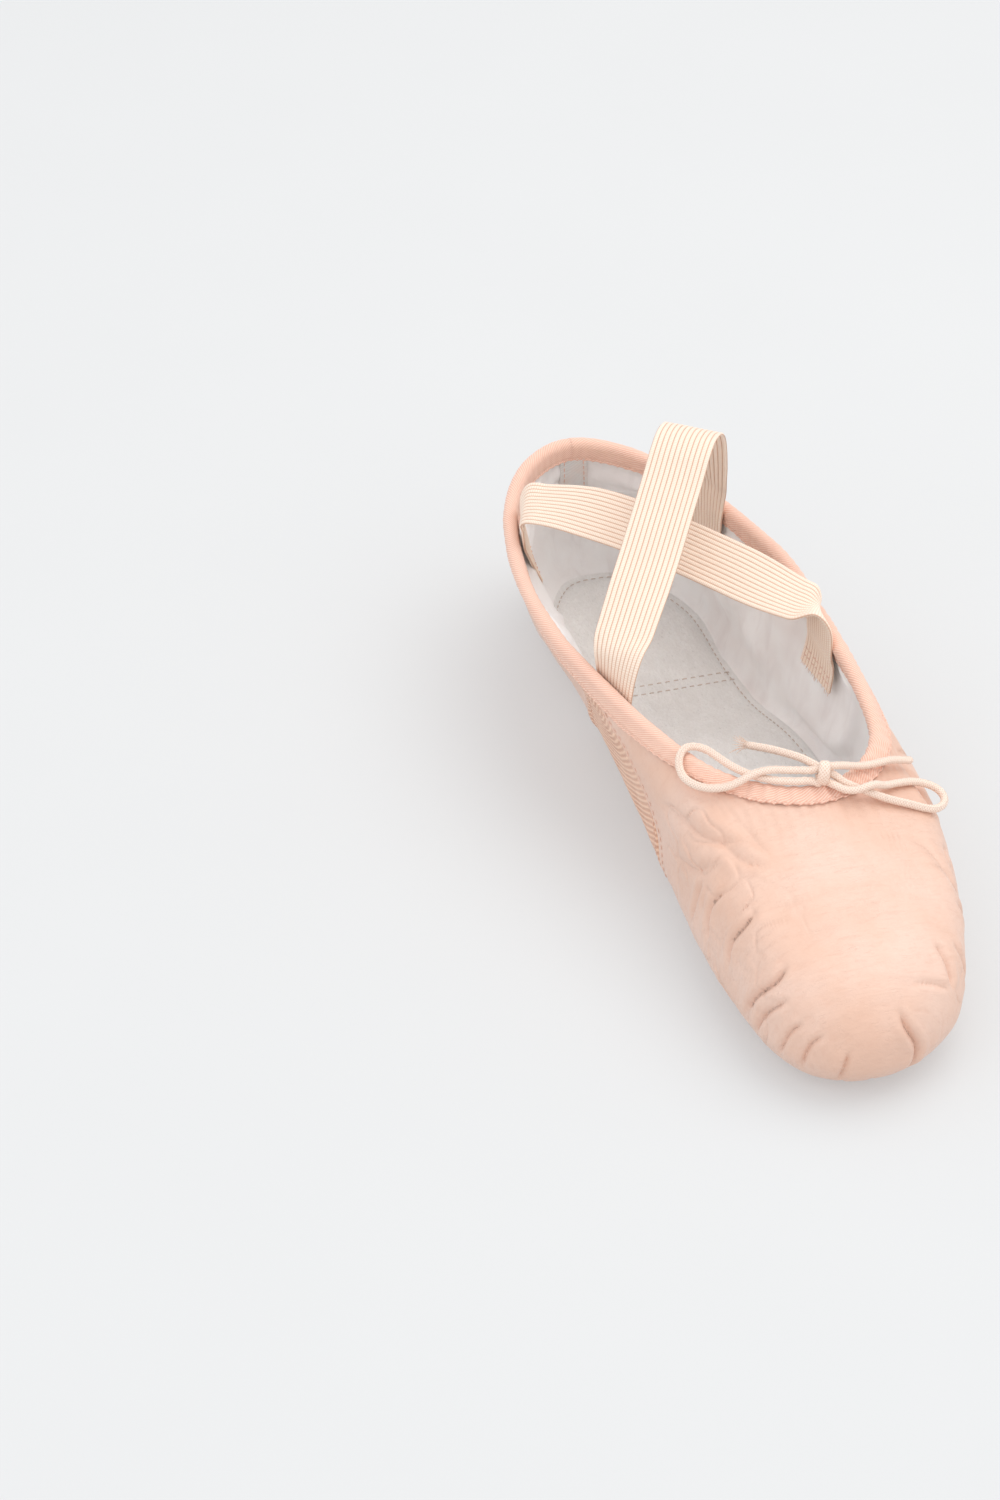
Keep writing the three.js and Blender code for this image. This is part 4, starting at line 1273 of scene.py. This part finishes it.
def add_strap(name, strap, seed):
    """Ribbed band, its fringes and its stitches, with their placement baked into their points."""
    shares = np.linspace(-1, 1, 9)
    rows = strap_rows(strap, shares)
    along = lengths(rows[:, 4])
    want = np.linspace(0, along[-1], STRAP_ROWS)
    index = np.interp(want, along, np.arange(len(rows))) / (len(rows) - 1)
    grid = spline(rows, index)
    grid = spline(grid.transpose(1, 0, 2), np.linspace(0, 1, STRAP_COLUMNS)).transpose(1, 0, 2)
    outer, inner = ribbed(grid, seed)
    across = np.linspace(0, STRAP["width"], STRAP_COLUMNS)
    cloth = together(want[:, None], across[None, :])
    band = slab_piece(f"{name}_elastic", outer, inner, cloth, ELASTIC)
    rng = np.random.default_rng(seed)
    fringe = strap_fringe(grid, rng) + strap_fringe(grid[::-1], rng)
    loose = joined_piece(f"{name}_fringe", fringe, ELASTIC)
    sewn = joined_piece(f"{name}_stitches", tab_stitches(outer, inner, want))
    nodes = (name, f"{name}_front_end", f"{name}_rear_end")
    for piece, stands_for in ((band, nodes), (loose, ()), (sewn, ())):
        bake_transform(piece)
        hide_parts(*stands_for)


def tab_stitches(outer, inner, along):
    """Two rows of stitches across each sewn end, on the foot's side."""
    middle = (6, outer.shape[1] // 2)
    rows = []
    for end in (1, -1):
        inward = (outer.mean((0, 1)) - outer[::end][middle]) * (1, 1, 0)
        near = max((outer[::end], inner[::end]), key=lambda face: face[middle] @ inward)
        normals = grid_normals(near)
        normals = normals * np.sign(normals[middle] @ inward)
        for distance in TAB_STITCH_ROWS:
            row = int(np.searchsorted(along, distance))
            rows.append(stitch_row(near[row, 4:-4], normals[row, 4:-4], 1.6, 2.3, lift=0.12))
    return rows


add_strap("strap_over", STRAP_OVER, 31)
add_strap("strap_under", STRAP_UNDER, 32)

# ---- insole and soles ----

INSOLE_OUT = 3.4
INSOLE_RISE = 3.05
INSOLE_THICKNESS = 0.9
HEEL_PAD = {"front": -50, "soft": 8, "rise": 1.1}
INSOLE_STITCH = {"length": 1.5, "pitch": 2.4, "radius": 0.15}
INSOLE_STITCH_RISE = 0.05
STITCH_INSIDE = 2.6
CROSS_STITCHES = (-49.0, -52.5)
CROSS_INSIDE = 1.5
INSOLE_ENDS = (0.006, 0.994)
STITCH_ENDS = (0.012, 0.988)


def eased_shares(count):
    """Shares from 0 to 1, closer together near both ends."""
    return (1 - np.cos(np.linspace(0, math.pi, count))) / 2


def inset_outline(u, inset):
    """Left half of the sole's outline at stations u, moved in by inset."""
    return sole_edge(u, along_list(SOLE_INSET, u, 1) + inset)[2:]


def outline_rows(first, last, rows, inset):
    """The same outline at stations from the toe end to the heel end."""
    return inset_outline(first + (last - first) * eased_shares(rows), inset)


def insole_level(x):
    """Height of the plain insole's top."""
    return arch_lift(x) + INSOLE_RISE


def outline_loop(first, last, rows, inset, level):
    """The left outline from toe to heel, then the right one back."""
    x, half = outline_rows(first, last, rows, inset)
    sides = [together(x, half, level(x)), together(x, -half, level(x))[::-1]]
    return settle(np.concatenate(sides))


def spread_shares(columns):
    """Shares from -1 to 1, closer together near both ends."""
    even = np.linspace(-1, 1, columns)
    return 0.35 * np.sin(even * math.pi / 2) + 0.65 * even


def outline_grid(first, last, rows, columns, inset, level=lambda x: 0 * x):
    x, half = outline_rows(first, last, rows, inset)
    shares = spread_shares(columns)
    grid = together(x[:, None], half[:, None] * shares[None, :], level(x)[:, None])
    return settle(grid)


def edge_gaps(grid):
    """Distance of each grid point from the grid's border, seen from above."""
    border = np.concatenate([grid[0], grid[:, -1], grid[-1][::-1], grid[::-1, 0]])[:, :2]
    flat = grid.reshape(-1, 3)[:, :2]
    best = np.full(len(flat), 1e9)
    for a, b in zip(border[:-1], border[1:]):
        if not np.array_equal(a, b):
            best = np.minimum(best, segment_gap(flat, a, b)[0])
    return best.reshape(grid.shape[:2])


def rounded_edge(gap, depth, width):
    """How far a rounded edge falls away at this distance from the border."""
    return depth * (1 - np.sqrt(1 - (1 - np.clip(gap / width, 0, 1)) ** 2))


def insole_height(grid, gap):
    """Height of the insole's top, with its heel pad, soft lumps, rounded edge and groove."""
    x = grid[..., 0]
    pad = HEEL_PAD["rise"] * ramp(x, HEEL_PAD["front"], HEEL_PAD["front"] - HEEL_PAD["soft"])
    pad = pad * ramp(gap, 2.0, 7.0)
    soft = 0.25 * noise(grid, (19, 15, 9), 41) + 0.08 * noise(grid, (5, 5, 5), 42)
    groove = 0.28 * bump(gap, STITCH_INSIDE, 0.5)
    return insole_level(x) + pad + soft - rounded_edge(gap, 0.5, 0.8) - groove


def add_insole():
    grid = outline_grid(*INSOLE_ENDS, 300, 90, -INSOLE_OUT, insole_level)
    gap = edge_gaps(grid)
    top = grid.copy()
    top[..., 2] = insole_height(grid, gap)
    under = grid.copy()
    under[..., 2] = insole_level(grid[..., 0]) - INSOLE_THICKNESS
    insole = slab_piece("insole_sock", top, under, grid[..., :2].copy(), INSOLE)
    bending(insole, "insole", "front_insole", "arch_sock", "heel_insole", "heel_pad")
    rows = [insole_stitches(), *(cross_stitches(x) for x in CROSS_STITCHES)]
    bending(joined_piece("insole_stitches", rows, GREY_THREAD), "insole")


def insole_row(line, gap):
    """Stitches along a line on the insole, at these distances from its edge."""
    line[:, 2] = insole_height(line, gap) + INSOLE_STITCH_RISE
    return stitch_row(line, UP, **INSOLE_STITCH)


def insole_stitches():
    """Stitches round the insole, a little inside its edge."""
    line = outline_loop(*STITCH_ENDS, 400, STITCH_INSIDE - INSOLE_OUT, insole_level)
    return insole_row(line, np.full(len(line), STITCH_INSIDE))


def cross_stitches(x):
    """A row of stitches from side to side across the insole."""
    u = np.interp(-x, -outline_rows(0, 1, 400, 0)[0], eased_shares(400))
    half = float(inset_outline(u, CROSS_INSIDE - INSOLE_OUT)[1])
    y = np.linspace(-half, half, 60)
    line = settle(together(float(x), y, insole_level(x)))
    return insole_row(line, half + 3.0 - np.abs(y))


FRONT_PATCH = (0.006, 0.437)
HEEL_PATCH = (0.65, 0.994)
PATCH_TOP = 1.35
PATCH_INSET = 0.4
SOLE_STITCH = {"inside": 3.0, "height": 0.42}


def add_sole(name, node, body, first, last, seed):
    """Suede patch with a rounded edge and a sewn groove; its underside is the ground."""
    grid = outline_grid(first, last, 220, 80, PATCH_INSET)
    gap = edge_gaps(grid)
    under = grid.copy()
    rough = 0.05 * (1 + noise(grid, (2.5, 2.5, 2.5), seed))
    groove = 0.4 * bump(gap, SOLE_STITCH["inside"] - PATCH_INSET, 0.4)
    under[..., 2] = rounded_edge(gap, 0.7, 0.9) + groove + rough * ramp(gap, 0.5, 3)
    top = grid.copy()
    top[..., 2] = PATCH_TOP - 0.2 * (1 - np.clip(gap / 0.6, 0, 1)) ** 2
    patch = slab_piece(f"{name}_suede", under, top, grid[..., :2].copy(), SUEDE)
    riding(patch, body, "suede", node)
    line = outline_loop(first, last, 300, SOLE_STITCH["inside"], lambda x: SOLE_STITCH["height"])
    sewn = joined_piece(f"{name}_stitches", [stitch_row(line, -UP)], GREY_THREAD)
    riding(sewn, body, "suede")


add_insole()
add_sole("front_sole", "front_sole_patch", "forefoot", *FRONT_PATCH, 51)
add_sole("heel_sole", "heel_sole_patch", "heel", *HEEL_PATCH, 52)

# ---- tape inside the heel ----

BACK_TAPE = {"width": 9, "length": 45, "low": 0.22, "high": 0.9, "layer": (2.0, 2.7)}


def add_back_tape():
    half = BACK_TAPE["width"] / 2 / float(top_frame(1.0)[2])
    v = 1 + half * np.linspace(-1, 1, 41)[:, None]
    s = np.linspace(BACK_TAPE["low"], BACK_TAPE["high"], 90)[None, :]
    v, s = np.broadcast_arrays(v, s)
    base = outer_face(v, s)
    normal = face_normal(outer_face, v, s)
    edge = edge_distance(base)
    ripple = 0.12 * noise(base, (6, 3, 4), 61) + 0.2 * bump(edge, 0.0, 0.5) - 0.12 * bump(edge, 1.1, 0.4)
    near, far = BACK_TAPE["layer"]
    height = relief(base, v, s)
    wall = base - normal * (near - height)[..., None]
    foot = base - normal * (far - ripple - height)[..., None]
    cloth = together((v - 1) / half * BACK_TAPE["width"] / 2, BACK_TAPE["length"] * s)
    tape = slab_piece("back_tape", wall, foot, cloth, TAPE_PALE)
    riding(tape, "heel", "binding", "back_seam_tape")
    rows = [stitch_row(foot[row], -normal[row], **SEAM_STITCH) for row in (5, -6)]
    riding(joined_piece("back_tape_stitches", rows), "heel", "binding")


add_back_tape()

# ---- floor, light and view ----

FLOOR_SIZE = 3.0
LIGHTS = {
    "key": ((-0.12, 0.5, 1.35), 1.5, 8.5, (1.0, 0.965, 0.93)),
    "fill": ((0.5, -1.1, 1.1), 1.5, 4.0, (0.93, 0.96, 1.0)),
    "front": ((1.1, 0.5, 1.0), 1.2, 1.5, (1.0, 0.99, 0.98)),
}
WORLD = ((0.98, 0.985, 1.0, 1.0), 0.92)


def add_floor():
    # The floor glows a little, though it is no lamp: painted light that lightens the shadows cast on it.
    m = Shader("glowing_paper_floor", 0.9, 0.1,
               Emission_Color=(0.97, 0.985, 1.0, 1.0), Emission_Strength=0.33)
    tone = m.mix(m.noise(m.place(), 0.01, 3), (0.415, 0.42, 0.42, 1), (0.43, 0.435, 0.435, 1))
    paper = m.finished(tone, (m.noise(m.place(), 1.5, 3), 0.1, 0.05))
    corners = np.array([(-1, -1, 0), (1, -1, 0), (1, 1, 0), (-1, 1, 0)]) * FLOOR_SIZE / 2
    mesh = bpy.data.meshes.new("floor")
    mesh.from_pydata([tuple(c) for c in corners], [], [(0, 1, 2, 3)])
    mesh.materials.append(paper)
    placed("floor", mesh)


def add_lights():
    for name, (place, size, power, tint) in LIGHTS.items():
        data = bpy.data.lights.new(name, "AREA")
        data.shape = "DISK"
        data.size = size
        data.energy = power
        data.color = tint
        light = placed(name, data)
        light.location = place
        light.rotation_euler = Vector(place).to_track_quat("Z", "Y").to_euler()
    world = bpy.data.worlds.new("studio")
    world.use_nodes = True
    background = world.node_tree.nodes["Background"]
    background.inputs["Color"].default_value = WORLD[0]
    background.inputs["Strength"].default_value = WORLD[1]
    bpy.context.scene.world = world


add_floor()
add_lights()
bpy.context.scene.view_settings.view_transform = "Standard"
